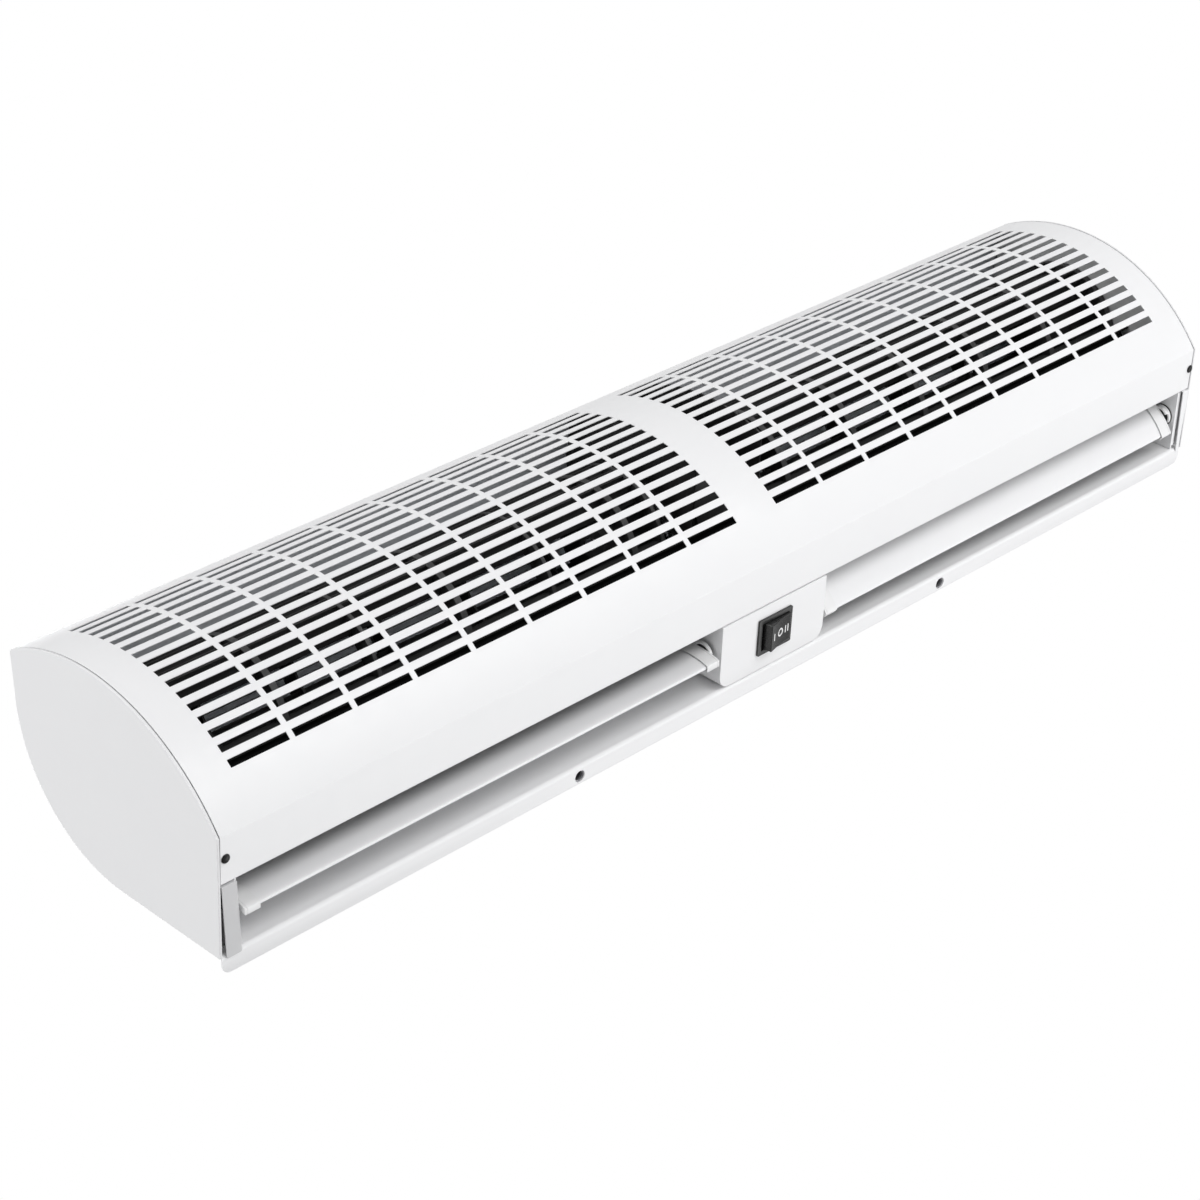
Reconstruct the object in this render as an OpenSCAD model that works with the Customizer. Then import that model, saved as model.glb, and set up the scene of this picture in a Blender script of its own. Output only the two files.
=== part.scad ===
// Cross-flow air curtain for a wall above a doorway, in millimetres.
// X runs along the length, the wall is the plane Y = 0 with the front towards -Y, and Z is up.
// The origin is the middle of the line of wall screws. The modules draw with the outlet face at Z = 0,
// and the finished pieces are lowered by the screws' height above that face. The air blows down.

/* [Casing] */
// Length over both end caps
unit_length = 900; // [700:10:1500]
// Distance from the wall to the foremost line of the round front
unit_depth = 146.5; // [140:0.5:160]
// Radius of the round front that carries the grille
front_radius = 135.2; // [130:0.2:165]
// Radius of the rounded top rear corner
rear_radius = 91.5; // [70:0.5:110]
// Distance from the wall to the casing's flat back
back_offset = 12.5; // [10:0.5:16]
// Thickness of the painted sheet
sheet = 1.2; // [0.8:0.1:1.6]
// Thickness of the end caps
cap_thickness = 1.5; // [1:0.1:3]

/* [Grille] */
// Slot rows from top to bottom
slot_rows = 16; // [8:1:18]
// Slot columns in each of the two sections
slot_columns = 9; // [5:1:15]
// Distance between slot columns
column_pitch = 45.25; // [30:0.25:60]
// Angle between slot rows, seen from the centre of the round front
row_step = 4.08; // [3.5:0.01:5]
// Length of a slot
slot_length = 41.5; // [25:0.5:55]
// Height of a slot
slot_height = 4.9; // [3:0.1:6]
// Distance between the two innermost columns
section_gap = 78; // [60:1:100]

/* [Outlet] */
// Width of the flat front band below the round front
band_width = 31.4; // [20:0.2:40]
// Turn of the left louver blade from upright, lower edge towards the wall
left_blade_angle = -3; // [-30:1:50]
// Turn of the right louver blade from upright, lower edge towards the wall
right_blade_angle = 38; // [-30:1:50]
// Width of the switch housing between the two outlets
housing_width = 98; // [97:1:120]

/* [Fan] */
// Outer radius of the impellers
impeller_radius = 47.5; // [38:0.5:50]
// Full segments in each impeller, besides the short one at its hub
segment_count = 5; // [3:1:8]
// Length of the short segment at the motor end
hub_segment = 25.8; // [15:0.1:40]
// Blades around each impeller
blade_count = 34; // [24:1:44]
// Radius of the motor body
motor_radius = 43; // [34:0.5:44]

/* [Switch] */
// Length of the switch bezel along X
bezel_length = 31.6; // [28:0.1:34]
// Width of the switch bezel along Y
bezel_width = 25.6; // [22:0.1:28]
// Angle of the rocker at its pressed end
rocker_tilt = 10; // [6:1:14]

/* [Hidden] */
$fn = 96;
// Clearance between separate pieces
gap = 0.3;
half_length = unit_length / 2;
cover_half = half_length - cap_thickness - gap;
// Inner face of the flat back, and a place well in front of the casing, for cutting shapes
back_inner_y = -back_offset - sheet;
far_y = -unit_depth - 23.5;
far_z = 210;
// Centre of the round front, seen along X
arc_y = front_radius - unit_depth;
arc_z = 109.1;
back_foot_radius = 2.5;
// Centre of the rounded top rear corner
rear_y = -back_offset - rear_radius;
rear_z = 83.7;
// Fold between the round front and the outlet band
fold_y = arc_y - sqrt(front_radius * front_radius - arc_z * arc_z);
band_edge_y = fold_y + band_width;
// The top slopes down towards the wall and runs into the rounded corner
top_slope = 6;
top_join_y = rear_y + rear_radius * sin(top_slope);
top_join_z = rear_z + rear_radius * cos(top_slope);
function top_line(y) = top_join_z - (y - top_join_y) * tan(top_slope);
// Where the top's straight line, lowered by some depth, meets the round front drawn in by that depth
function corner_at(depth) =
    let (
        m = tan(top_slope),
        k = top_join_z + m * top_join_y - depth - arc_z,
        a = 1 + m * m,
        b = -2 * (arc_y + m * k),
        c = arc_y * arc_y + k * k - (front_radius - depth) * (front_radius - depth)
    )
    (-b - sqrt(b * b - 4 * a * c)) / (2 * a);
// The two screws at the ends of the outlet band
cover_screw_x = [-half_length + 5.7, half_length - 4.2];
cover_screw_y = fold_y + 14.6;
// Width of the cover's flat top edge, and of the stepped lip below it
cover_lip = 21;
lap_length = 19;
lap_y = corner_at(0) + cover_lip;
// Angle of the topmost slot row above the horizontal
first_row_angle = 21.6;
// Fan axis, set back from the foremost line of the front
fan_setback = 70.5;
fan_y = fan_setback - unit_depth;
fan_z = 108;
shaft_radius = 4;
run_fit = 0.05;
left_inner_end = -37;
right_inner_end = 54.6;
impeller_end_room = 3;
hub_length = 18;
hub_radius_fan = 11;
blade_sheet = 0.8;
disc_sheet = 1.6;
// Side frames that carry the outer bearings
left_frame_x = -436.4 + 450 - half_length;
right_frame_x = 438.4 - 450 + half_length;
strip_left = 2.2;
strip_right = 3.4;
bearing_reach = 8.8;
post_gap_right = 2.2;
impeller_length = right_frame_x - impeller_end_room - right_inner_end;
segment_length = (impeller_length - hub_segment) / segment_count;
// Motor, set off centre to the right as in the photograph
motor_left = -8;
motor_right = 44;
boss_radius = 15;
boss_length = 7;
rubber_radius = 22;
plate_left_x = -13.2;
plate_right_x = 48;
clamp_radius = 25.8;
clamp_ear = 30;
// Room between the rolled edge's seam and the lower edge of the motor plates
plate_room = 7.3;
// Rolled edge of the sheet below the impellers
tongue_gap = 5.8;
tongue_tip_y = fan_y - 8.65;
tongue_tip_z = fan_z - impeller_radius - tongue_gap;
tongue_roll = 5;
// Rear limit of the outlet, and the louver pivots in its middle
outlet_rear_y = back_inner_y - 2.7;
pivot_y = (band_edge_y + outlet_rear_y) / 2;
pivot_z = 12;
blade_below = 14.3;
blade_above = 20;
blade_thickness = 2;
blade_bow = 52;
// The middle of the bowed blade lies this far in front of its pivot
blade_offset = 3;
clip_length = 11;
clip_wall = 1;
clip_below = 1;
clip_end_wall = 1.6;
hub_radius = 6.5;
ring_inner = hub_radius + run_fit;
ring_outer = 8;
flange_radius = 8.4;
bush_flange = 0.6;
// Both blades are pushed to the left on their pivots, so their clips stand nearer to that wall
near_stand = 1.9;
far_stand = 5.4;
housing_half = housing_width / 2;
housing_front_y = band_edge_y + gap;
housing_rear_y = outlet_rear_y - 0.1;
housing_height = 30;
// The lid of the switch housing is also the tray for the connections
tray_z = housing_height + gap;
housing_wall = 1.6;
// Switch
switch_y = (housing_front_y + housing_rear_y) / 2 - 0.5;
switch_body_half_x = bezel_length / 2 - 1.8;
switch_body_half_y = bezel_width / 2 - 1.8;
switch_cut_room = 0.2;
switch_well_half_x = bezel_length / 2 - 3.1;
rocker_length = bezel_length - 9.6;
rocker_width = bezel_width - 6.4;
rocker_side_room = 0.25;
rocker_pin_radius = 1.5;
rocker_pivot_z = 3;
rocker_pivot_x = 0.5;
bezel_height = 2;
switch_depth = 19;
// Wall plate and its hook
plate_half = half_length - 24;
plate_sheet = 1.5;
hook_z = 72;
fixing_y = -(back_offset - 0.9) / 2;
fixing_x = 172;
fixing_radius = 4;
screw_hole_radius = 3;
screw_spacing = 240;
// Height of the wall screws above the outlet face
screw_rows_z = 42;
// Cable entry in the casing's flat back
entry_x = 18;
entry_z = 46;
window_half = 25;

// Colours a finished piece and moves it to the origin used outside: the wall screws' line at Z = 0.
module painted(shade)
    color(shade)
        translate([0, 0, -screw_rows_z])
            children();

// Draws a cross-section, given in Y and Z, from one X to another.
module span(from_x, to_x)
    translate([from_x, 0, 0])
        rotate([90, 0, 90])
            linear_extrude(height = to_x - from_x)
                children();

// A straight round piece along X.
module rod_x(from_x, to_x, r, y = fan_y, z = fan_z)
    translate([from_x, y, z])
        rotate([0, 90, 0])
            cylinder(r = r, h = to_x - from_x);

module box_between(low, high)
    translate(low)
        cube(high - low);

// Everything inside the casing's outline, drawn in by a given depth.
module outline(depth) {
    intersection() {
        translate([arc_y, arc_z])
            circle(r = front_radius - depth);
        polygon([
            [far_y, depth],
            [-back_offset - depth, depth],
            [-back_offset - depth, far_z],
            [far_y, far_z]
        ]);
        polygon([
            [far_y, -1],
            [0, -1],
            [0, top_line(0) - depth],
            [far_y, top_line(far_y) - depth]
        ]);
        union() {
            translate([far_y, 0])
                square([rear_y + 0.01 - far_y, far_z]);
            translate([far_y, 0])
                square([-far_y, rear_z]);
            translate([rear_y, rear_z])
                circle(r = rear_radius - depth);
        }
    }
}

module slot_row_shapes() {
    for (row = [0 : slot_rows - 1])
        translate([arc_y, arc_z])
            rotate(180 - first_row_angle + row * row_step)
                translate([front_radius - 4, -slot_height / 2])
                    square([8, slot_height]);
}

module cover_arc_shape()
    intersection() {
        difference() {
            translate([arc_y, arc_z])
                circle(r = front_radius);
            translate([arc_y, arc_z])
                circle(r = front_radius - sheet);
        }
        polygon([
            [far_y, 0],
            [fold_y + 11, 0],
            [fold_y + 11, top_line(fold_y + 11)],
            [far_y, top_line(far_y)]
        ]);
    }

module cover_lip_shape()
    polygon([
        [corner_at(0) + 0.02, top_line(corner_at(0) + 0.02) - 0.01],
        [lap_y - gap, top_line(lap_y - gap)],
        [lap_y - gap, top_line(lap_y - gap) - sheet],
        [corner_at(sheet) - 0.3, top_line(corner_at(sheet) - 0.3) - sheet]
    ]);

// Sheet-metal front with both slot grilles, its top lip and the flat outlet band.
module front_cover() {
    painted("white")
        difference() {
            union() {
                span(-cover_half, cover_half)
                    cover_arc_shape();
                span(-cover_half, cover_half)
                    cover_lip_shape();
                box_between([-cover_half, fold_y + 0.01, 0], [cover_half, band_edge_y, sheet]);
                // turned-up edge along the outlet
                box_between([left_frame_x + 0.6, band_edge_y - sheet, sheet / 2],
                            [right_frame_x - 0.6, band_edge_y, 8]);
            }
            for (side = [-1, 1])
                for (column = [0 : slot_columns - 1])
                    translate([side * (section_gap / 2 + column * column_pitch), 0, 0])
                        span(-slot_length / 2, slot_length / 2)
                            slot_row_shapes();
            for (x = cover_screw_x)
                translate([x, cover_screw_y, -1])
                    cylinder(r = 1.75, h = sheet + 2);
        }
}

module rear_corner_shape()
    intersection() {
        difference() {
            translate([rear_y, rear_z])
                circle(r = rear_radius);
            translate([rear_y, rear_z])
                circle(r = rear_radius - sheet);
        }
        polygon([
            [rear_y, rear_z],
            [0, rear_z],
            [0, 200],
            [rear_y + 150 * sin(top_slope), rear_z + 150 * cos(top_slope)]
        ]);
    }

module rear_top_shape()
    polygon([
        [lap_y, top_line(lap_y)],
        [top_join_y + 0.2, top_line(top_join_y + 0.2) - 0.02],
        [top_join_y + 0.2 - sheet * sin(top_slope), top_line(top_join_y + 0.2) - 0.02 - sheet],
        [lap_y, top_line(lap_y) - sheet]
    ]);

// stepped lip under the edge of the front cover
module rear_lap_shape()
    polygon([
        [lap_y - lap_length, top_line(lap_y - lap_length) - sheet - gap],
        [lap_y, top_line(lap_y) - sheet - gap],
        [lap_y, top_line(lap_y) - sheet / 2],
        [lap_y + 3, top_line(lap_y + 3) - sheet / 2],
        [lap_y + 3, top_line(lap_y + 3) - 2 * sheet - gap],
        [lap_y - lap_length, top_line(lap_y - lap_length) - 2 * sheet - gap]
    ]);

// rounded fold between the flat back and the wall flange
module rear_fold_shape()
    intersection() {
        difference() {
            translate([back_inner_y + back_foot_radius, back_foot_radius])
                circle(r = back_foot_radius);
            translate([back_inner_y + back_foot_radius, back_foot_radius])
                circle(r = back_foot_radius - sheet);
        }
        translate([back_inner_y - 1, -1])
            square(back_foot_radius + 1.05);
    }

// Rear sheet: top, rounded corner and flat back, which is also the fan's scroll wall.
module rear_casing() {
    painted("white")
        difference() {
            union() {
                span(-cover_half, cover_half)
                    rear_corner_shape();
                span(-cover_half, cover_half)
                    rear_top_shape();
                span(-cover_half, cover_half)
                    rear_lap_shape();
                span(-cover_half, cover_half)
                    rear_fold_shape();
                box_between([-cover_half, back_inner_y, back_foot_radius],
                            [cover_half, -back_offset, rear_z + 0.1]);
                box_between([-cover_half, back_inner_y + back_foot_radius, 0], [cover_half, -0.6, sheet]);
            }
            for (side = [-1, 1]) {
                translate([side * fixing_x, fixing_y, -1])
                    cylinder(r = fixing_radius, h = sheet + 2);
                // rounded ends of the wall flange
                translate([side * (cover_half - 3), -3.5, -1])
                    difference() {
                        translate([-4, 0, 0])
                            cube([8, 8, 4]);
                        translate([-side * 3, 0, -1])
                            cylinder(r = 6, h = 6);
                        translate([-side * 8 - 4, -1, -1])
                            cube([8 + 2, 10, 6]);
                    }
            }
            grommet_place()
                translate([0, 0, -8])
                    cylinder(r = 7.2, h = 16);
        }
}

// Where the supply cable passes through the flat back.
module grommet_place() {
    translate([entry_x, back_inner_y, entry_z])
        rotate([-90, 0, 0])
            children();
}

// End cap drawn at the left end: a flat plate with a rim that reaches inside the casing.
module cap_at_left() {
    span(-half_length, -half_length + cap_thickness)
        outline(0);
    difference() {
        span(-half_length + cap_thickness - 0.01, -half_length + 8)
            outline(sheet + gap);
        span(-half_length, -half_length + 9)
            outline(2 * sheet + gap);
        // the rim is open towards the outlet and at the stepped top lip
        box_between([-half_length + cap_thickness, far_y, -1], [-half_length + 9, 0, 5]);
        box_between([-half_length + cap_thickness, lap_y - lap_length - 14, 165],
                    [-half_length + 9, lap_y + 6, far_z]);
    }
}

module end_cap_left() {
    painted("gainsboro")
        cap_at_left();
}

module end_cap_right() {
    painted("gainsboro")
        mirror([1, 0, 0])
            cap_at_left();
}

// Angle that closes the outlet's end; its face is the post beside the outlet, up to end_y.
module bracket_between(wall_x, post_x, side, end_y) {
    corner_r = 4;
    start_y = fold_y + 4.5;
    low_z = sheet + gap;
    inner_x = post_x + side * corner_r;
    difference() {
        union() {
            box_between([min(wall_x, post_x), start_y, low_z],
                        [max(wall_x, post_x), end_y - corner_r, low_z + sheet]);
            box_between([min(wall_x, inner_x), end_y - corner_r - 0.6, low_z],
                        [max(wall_x, inner_x), end_y, low_z + sheet]);
            intersection() {
                translate([inner_x, end_y - corner_r, low_z])
                    cylinder(r = corner_r, h = sheet);
                box_between([min(wall_x, post_x), end_y - 9, 0], [max(wall_x, post_x), 0, 10]);
            }
            box_between([min(wall_x, wall_x - side * sheet), start_y, low_z],
                        [max(wall_x, wall_x - side * sheet), outlet_rear_y - 6, low_z + 3.2]);
        }
        for (x = cover_screw_x)
            translate([x, cover_screw_y, -1])
                cylinder(r = 1.45, h = 8);
    }
}

module end_bracket_left() {
    painted("gainsboro")
        bracket_between(-half_length + cap_thickness + gap / 2, left_frame_x - strip_left - gap, -1,
                        back_inner_y - 0.5);
}

module end_bracket_right() {
    painted("white")
        bracket_between(half_length - cap_thickness - gap / 2,
                        right_frame_x + strip_right + post_gap_right, 1, outlet_rear_y);
}

// Cross-section of an upright plate that fills the casing 0.3 mm inside its walls.
module plate_shape()
    difference() {
        outline(sheet + gap);
        // room for the casing's stepped top lip
        translate([far_y, top_line(lap_y - lap_length) - 2 * sheet - 2 * gap - 3])
            square([lap_y + 3 + gap - far_y, 30]);
    }

// Plate at an end of the fan with the bearing seat and the louver's pivot hole.
module side_frame_at(from_x)
    difference() {
        span(from_x, from_x + sheet)
            plate_shape();
        rod_x(from_x - 1, from_x + sheet + 1, 19);
        rod_x(from_x - 1, from_x + sheet + 1, 4.2, pivot_y, pivot_z);
    }

module side_frame_left() {
    painted("white") {
        side_frame_at(left_frame_x - sheet);
        box_between([left_frame_x - strip_left, band_edge_y + 1, sheet + gap],
                    [left_frame_x - sheet / 2, outlet_rear_y, 2.5 * sheet]);
    }
}

module side_frame_right() {
    painted("white") {
        side_frame_at(right_frame_x);
        box_between([right_frame_x + sheet / 2, band_edge_y + 1, sheet + gap],
                    [right_frame_x + strip_right, outlet_rear_y, 2.5 * sheet]);
    }
}

// The sheet between intake and outlet; its rolled edge runs close under the impellers.
module outlet_tongue() {
    foot_y = band_edge_y - sheet - gap;
    foot_z = sheet + gap;
    tip_z = tongue_tip_z;
    lean = foot_y - tongue_tip_y;
    rise = tip_z - foot_z - 0.2;
    run = sqrt(rise * rise + lean * lean);
    along_y = -lean / run;
    along_z = rise / run;
    roll_y = tongue_tip_y - tongue_roll * along_z;
    roll_z = tip_z + tongue_roll * along_y;
    painted("dimgray") {
        span(left_frame_x + gap, right_frame_x - gap)
            polygon([
                [foot_y, foot_z],
                [foot_y, foot_z + 0.5],
                [tongue_tip_y, tip_z],
                [tongue_tip_y - sheet * along_z, tip_z + sheet * along_y],
                [foot_y - sheet - 1, foot_z + sheet],
                [foot_y - 12, foot_z + sheet],
                [foot_y - 12, foot_z]
            ]);
        // rolled edge, with its clip wedge started a little below the seam
        span(left_frame_x + gap, right_frame_x - gap)
            intersection() {
                difference() {
                    translate([roll_y, roll_z])
                        circle(r = tongue_roll);
                    translate([roll_y, roll_z])
                        circle(r = tongue_roll - sheet);
                }
                polygon([
                    [roll_y, roll_z],
                    [roll_y + 9 * along_z + 1, roll_z - 9 * along_y - 1.4],
                    [tongue_tip_y + 20 * along_y, tip_z + 20 * along_z],
                    [tongue_tip_y - 30, tip_z + 6],
                    [roll_y - tongue_roll * 2, roll_z - tongue_roll]
                ]);
            }
    }
}

// Channel welded to the casing's flat back; its turned-down lip hangs behind the wall plate's lip.
module hanger_rail() {
    painted("silver")
        span(-plate_half + 40, plate_half - 40) {
            translate([-back_offset, hook_z - 6])
                square([sheet, 16]);
            translate([-back_offset, hook_z + gap])
                square([back_offset - 2.6, sheet]);
            translate([-2.6 - sheet, hook_z - 6])
                square([sheet, 6 + gap + sheet]);
        }
}

module slot_along_x(at, length, r, depth)
    translate(at)
        rotate([90, 0, 0])
            union() {
                translate([-length / 2 + r, 0, -depth / 2])
                    cylinder(r = r, h = depth);
                translate([length / 2 - r, 0, -depth / 2])
                    cylinder(r = r, h = depth);
                translate([-length / 2 + r, -r, -depth / 2])
                    cube([length - 2 * r, 2 * r, depth]);
            }

// Plate screwed to the wall: the unit hangs on its top lip and is fixed through its bottom flange.
module wall_plate() {
    painted("silver")
        difference() {
            span(-plate_half, plate_half) {
                translate([-plate_sheet, sheet + gap])
                    square([plate_sheet, hook_z - 10 - gap]);
                translate([-back_offset + 1.6, sheet + gap])
                    square([back_offset - 1.6, plate_sheet]);
                translate([-6.6, hook_z - 10])
                    square([6.6, plate_sheet]);
                translate([-6.6, hook_z - 10])
                    square([sheet, 10]);
            }
            for (place = [-1.5, -0.5, 0.5, 1.5])
                translate([place * screw_spacing, 0, screw_rows_z])
                    slot_along_x([0, 0, 0], 14, screw_hole_radius, 10);
            for (side = [-1, 1])
                translate([side * fixing_x, fixing_y, 0])
                    cylinder(r = 3.3, h = 6);
            // window for the supply cable, as high as the plate's web
            box_between([entry_x - window_half, -plate_sheet - 2, sheet + gap + plate_sheet + 2],
                        [entry_x + window_half, 2, hook_z - 11]);
        }
}

// Dark plate at one end of the motor bay: it closes the duct and holds the motor's rubber ring.
module motor_plate_at(from_x, flange_x) {
    low_z = tongue_tip_z + plate_room;
    low = min(from_x, flange_x);
    high = max(from_x + sheet, flange_x);
    difference() {
        union() {
            span(from_x, from_x + sheet)
                intersection() {
                    plate_shape();
                    union() {
                        translate([far_y, low_z])
                            square([-far_y, 130]);
                        translate([band_edge_y - 0.4, tray_z + sheet + gap])
                            square([60, 60]);
                    }
                }
            box_between([low, back_inner_y - sheet - gap, low_z], [high, back_inner_y - gap, low_z + 20]);
        }
        rod_x(from_x - 1, from_x + sheet + 1, rubber_radius + 0.1);
        for (ear = [0 : 2])
            translate([0, fan_y, fan_z])
                rotate([ear * 120 + 30, 0, 0])
                    translate([0, clamp_ear, 0])
                        rod_x(from_x - 1, from_x + sheet + 1, 1.6, 0, 0);
    }
}

module motor_plate_left() {
    painted("dimgray")
        motor_plate_at(plate_left_x, plate_left_x + 12);
}

module motor_plate_right() {
    painted("dimgray")
        motor_plate_at(plate_right_x, plate_right_x + sheet - 12);
}

// Children are drawn at both outer faces of the motor bay with X pointing away from the motor.
module at_both_plates() {
    translate([plate_left_x, fan_y, fan_z])
        mirror([1, 0, 0])
            children();
    translate([plate_right_x + sheet, fan_y, fan_z])
        children();
}

// Bright rings screwed to the plates over the rubber rings.
module motor_clamps() {
    painted("silver")
        at_both_plates()
            difference() {
                union() {
                    rod_x(0.1, 3.2, clamp_radius, 0, 0);
                    for (ear = [0 : 2])
                        rotate([ear * 120 + 30, 0, 0]) {
                            translate([0, clamp_ear, 0])
                                rod_x(0.1, 1.3, 4.2, 0, 0);
                            box_between([0.1, clamp_radius - 2, -4.2], [1.3, clamp_ear, 4.2]);
                        }
                }
                rod_x(-1, 2.2, rubber_radius + 0.1, 0, 0);
                rod_x(-1, 5, rubber_radius - 2.5, 0, 0);
                for (ear = [0 : 2])
                    rotate([ear * 120 + 30, 0, 0])
                        translate([0, clamp_ear, 0])
                            rod_x(-1, 5, 1.7, 0, 0);
            }
}

// Pan-head screws that hold the clamp rings.
module clamp_screws() {
    painted("dimgray")
        at_both_plates()
            for (ear = [0 : 2])
                rotate([ear * 120 + 30, 0, 0])
                    translate([0, clamp_ear, 0]) {
                        rod_x(1.4, 3.2, 2.9, 0, 0);
                        rod_x(-4, 1.5, 1.5, 0, 0);
                    }
}

// Electric motor with a boss at each end.
module motor_body() {
    painted("black")
        difference() {
            union() {
                rod_x(motor_left + 6, motor_right - 6, motor_radius);
                rod_x(motor_left + 3, motor_right - 3, motor_radius - 1.5);
                rod_x(motor_left, motor_right, motor_radius - 6);
                rod_x(motor_left - boss_length, motor_right + boss_length, boss_radius);
            }
            rod_x(-60, 80, shaft_radius + run_fit);
        }
}

// Soft rings between the motor's bosses and the plates.
module motor_rubbers() {
    painted([0.15, 0.15, 0.15])
        at_both_plates()
            difference() {
                rod_x(-3.8, 2.1, rubber_radius, 0, 0);
                rod_x(-5, 4, boss_radius, 0, 0);
            }
}

module rotor_shaft() {
    painted("silver")
        rod_x(left_inner_end - 20, right_inner_end + 20, shaft_radius);
}

module blade_ring_shape() {
    bow = 9;
    for (blade = [0 : blade_count - 1])
        translate([fan_y, fan_z])
            rotate(blade * 360 / blade_count)
                intersection() {
                    translate([impeller_radius - 5, 7])
                        difference() {
                            circle(r = bow);
                            circle(r = bow - blade_sheet);
                        }
                    difference() {
                        circle(r = impeller_radius - 0.4);
                        circle(r = impeller_radius - 11);
                    }
                    translate([impeller_radius - 14, -8])
                        square([15, 8]);
                }
}

function disc_x(index) = index == 0 ? 0 : hub_segment + (index - 1) * segment_length;

// Drum of thin curved blades between discs, from its motor end at X = 0 towards +X.
module impeller_drum() {
    translate([0, -fan_y, -fan_z])
        span(disc_sheet / 2, impeller_length - disc_sheet / 2)
            blade_ring_shape();
    for (index = [1 : segment_count])
        difference() {
            rod_x(disc_x(index) - disc_sheet / 2, disc_x(index) + disc_sheet / 2, impeller_radius, 0, 0);
            rod_x(disc_x(index) - 2, disc_x(index) + 2, impeller_radius - 12.5, 0, 0);
        }
    // closed end discs with their hubs
    for (from_x = [0, impeller_length - disc_sheet])
        difference() {
            rod_x(from_x, from_x + disc_sheet, impeller_radius, 0, 0);
            rod_x(from_x - 1, from_x + disc_sheet + 1, shaft_radius + 0.02, 0, 0);
        }
    for (from_x = [disc_sheet - 0.1, impeller_length - hub_length])
        difference() {
            rod_x(from_x, from_x + hub_length - disc_sheet + 0.1, hub_radius_fan, 0, 0);
            rod_x(from_x - 1, from_x + hub_length + 1, shaft_radius + 0.02, 0, 0);
        }
}

module impeller_left() {
    painted("black")
        translate([left_inner_end, fan_y, fan_z])
            mirror([1, 0, 0])
                impeller_drum();
}

module impeller_right() {
    painted("black")
        translate([right_inner_end, fan_y, fan_z])
            impeller_drum();
}

// Stub shafts that carry the impellers' outer ends.
module end_shafts() {
    painted("silver") {
        rod_x(left_frame_x - bearing_reach, left_inner_end - impeller_length + hub_length - 1, shaft_radius);
        rod_x(right_inner_end + impeller_length - hub_length + 1, right_frame_x + bearing_reach,
              shaft_radius);
    }
}

// Turned pieces of the outer bearings: local Z points away from the fan, from the frame's inner face.
module at_both_frames() {
    translate([left_frame_x, fan_y, fan_z])
        rotate([0, -90, 0])
            children();
    translate([right_frame_x, fan_y, fan_z])
        rotate([0, 90, 0])
            children();
}

// Self-aligning plain bearings at both outer ends.
module bearing_bushes() {
    painted([0.72, 0.56, 0.32])
        at_both_frames()
            rotate_extrude()
                intersection() {
                    translate([0, 3.6])
                        circle(r = 12);
                    translate([shaft_radius + run_fit, -0.8])
                        square([11 - shaft_radius - run_fit, 8.8]);
                }
}

// Rubber holders that grip the edge of each frame's hole.
module bearing_rubbers() {
    painted([0.15, 0.15, 0.15])
        at_both_frames()
            rotate_extrude()
                polygon([
                    [11.05, -0.9],
                    [21.5, -0.9],
                    [21.5, -0.05],
                    [18.9, -0.05],
                    [18.9, sheet + 0.05],
                    [22, sheet + 0.05],
                    [22, sheet + 2.2],
                    [15.5, sheet + 3.4],
                    [15, 7.4],
                    [11.05, 7.4]
                ]);
}

// The blade's bowed cross-section about its pivot, before it is turned.
module blade_shape(grow, below, above) {
    intersection() {
        difference() {
            translate([blade_bow - blade_offset, 4])
                circle(r = blade_bow + blade_thickness / 2 + grow);
            translate([blade_bow - blade_offset, 4])
                circle(r = blade_bow - blade_thickness / 2 - grow);
        }
        translate([-9, -below])
            square([18, below + above]);
    }
}

module at_pivot(angle)
    translate([0, pivot_y, pivot_z])
        rotate([angle, 0, 0])
            children();

module louver(from_x, to_x, angle)
    at_pivot(angle)
        span(from_x, to_x)
            blade_shape(0, blade_below, blade_above);

// End clip: a sleeve over the blade's end, closed by a wall with an open ring on its outer side.
module louver_clip(end_x, side, stand, angle) {
    inner_x = end_x - side * clip_length;
    wall_x = end_x - side * clip_end_wall;
    far_x = inner_x - side;
    ring_x = end_x + side * (stand - bush_flange - gap);
    at_pivot(angle) {
        difference() {
            span(min(inner_x, end_x), max(inner_x, end_x))
                blade_shape(clip_wall, blade_below + clip_below, blade_above + 1);
            span(min(far_x, wall_x), max(far_x, wall_x))
                blade_shape(0.02, blade_below + 0.05, blade_above + 0.05);
        }
        rod_x(min(end_x, wall_x), max(end_x, wall_x), ring_outer, 0, 0);
        difference() {
            rod_x(min(wall_x, ring_x), max(wall_x, ring_x), ring_outer, 0, 0);
            rod_x(min(end_x, ring_x + side), max(end_x, ring_x + side), ring_inner, 0, 0);
            box_between([min(end_x, ring_x + side), -2.6, -12], [max(end_x, ring_x + side), 2.6, 0]);
        }
    }
}

left_clip_outer = left_frame_x + near_stand;
left_clip_inner = -housing_half - far_stand;
right_clip_inner = housing_half + near_stand;
right_clip_outer = right_frame_x - far_stand;
blade_end_room = clip_end_wall + 0.1;

module louver_left() {
    painted("white")
        louver(left_clip_outer + blade_end_room, left_clip_inner - blade_end_room, left_blade_angle);
}

module louver_right() {
    painted("white")
        louver(right_clip_inner + blade_end_room, right_clip_outer - blade_end_room, right_blade_angle);
}

module louver_left_clips() {
    painted("whitesmoke") {
        louver_clip(left_clip_outer, -1, near_stand, left_blade_angle);
        louver_clip(left_clip_inner, 1, far_stand, left_blade_angle);
    }
}

module louver_right_clips() {
    painted("whitesmoke") {
        louver_clip(right_clip_inner, -1, near_stand, right_blade_angle);
        louver_clip(right_clip_outer, 1, far_stand, right_blade_angle);
    }
}

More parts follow.
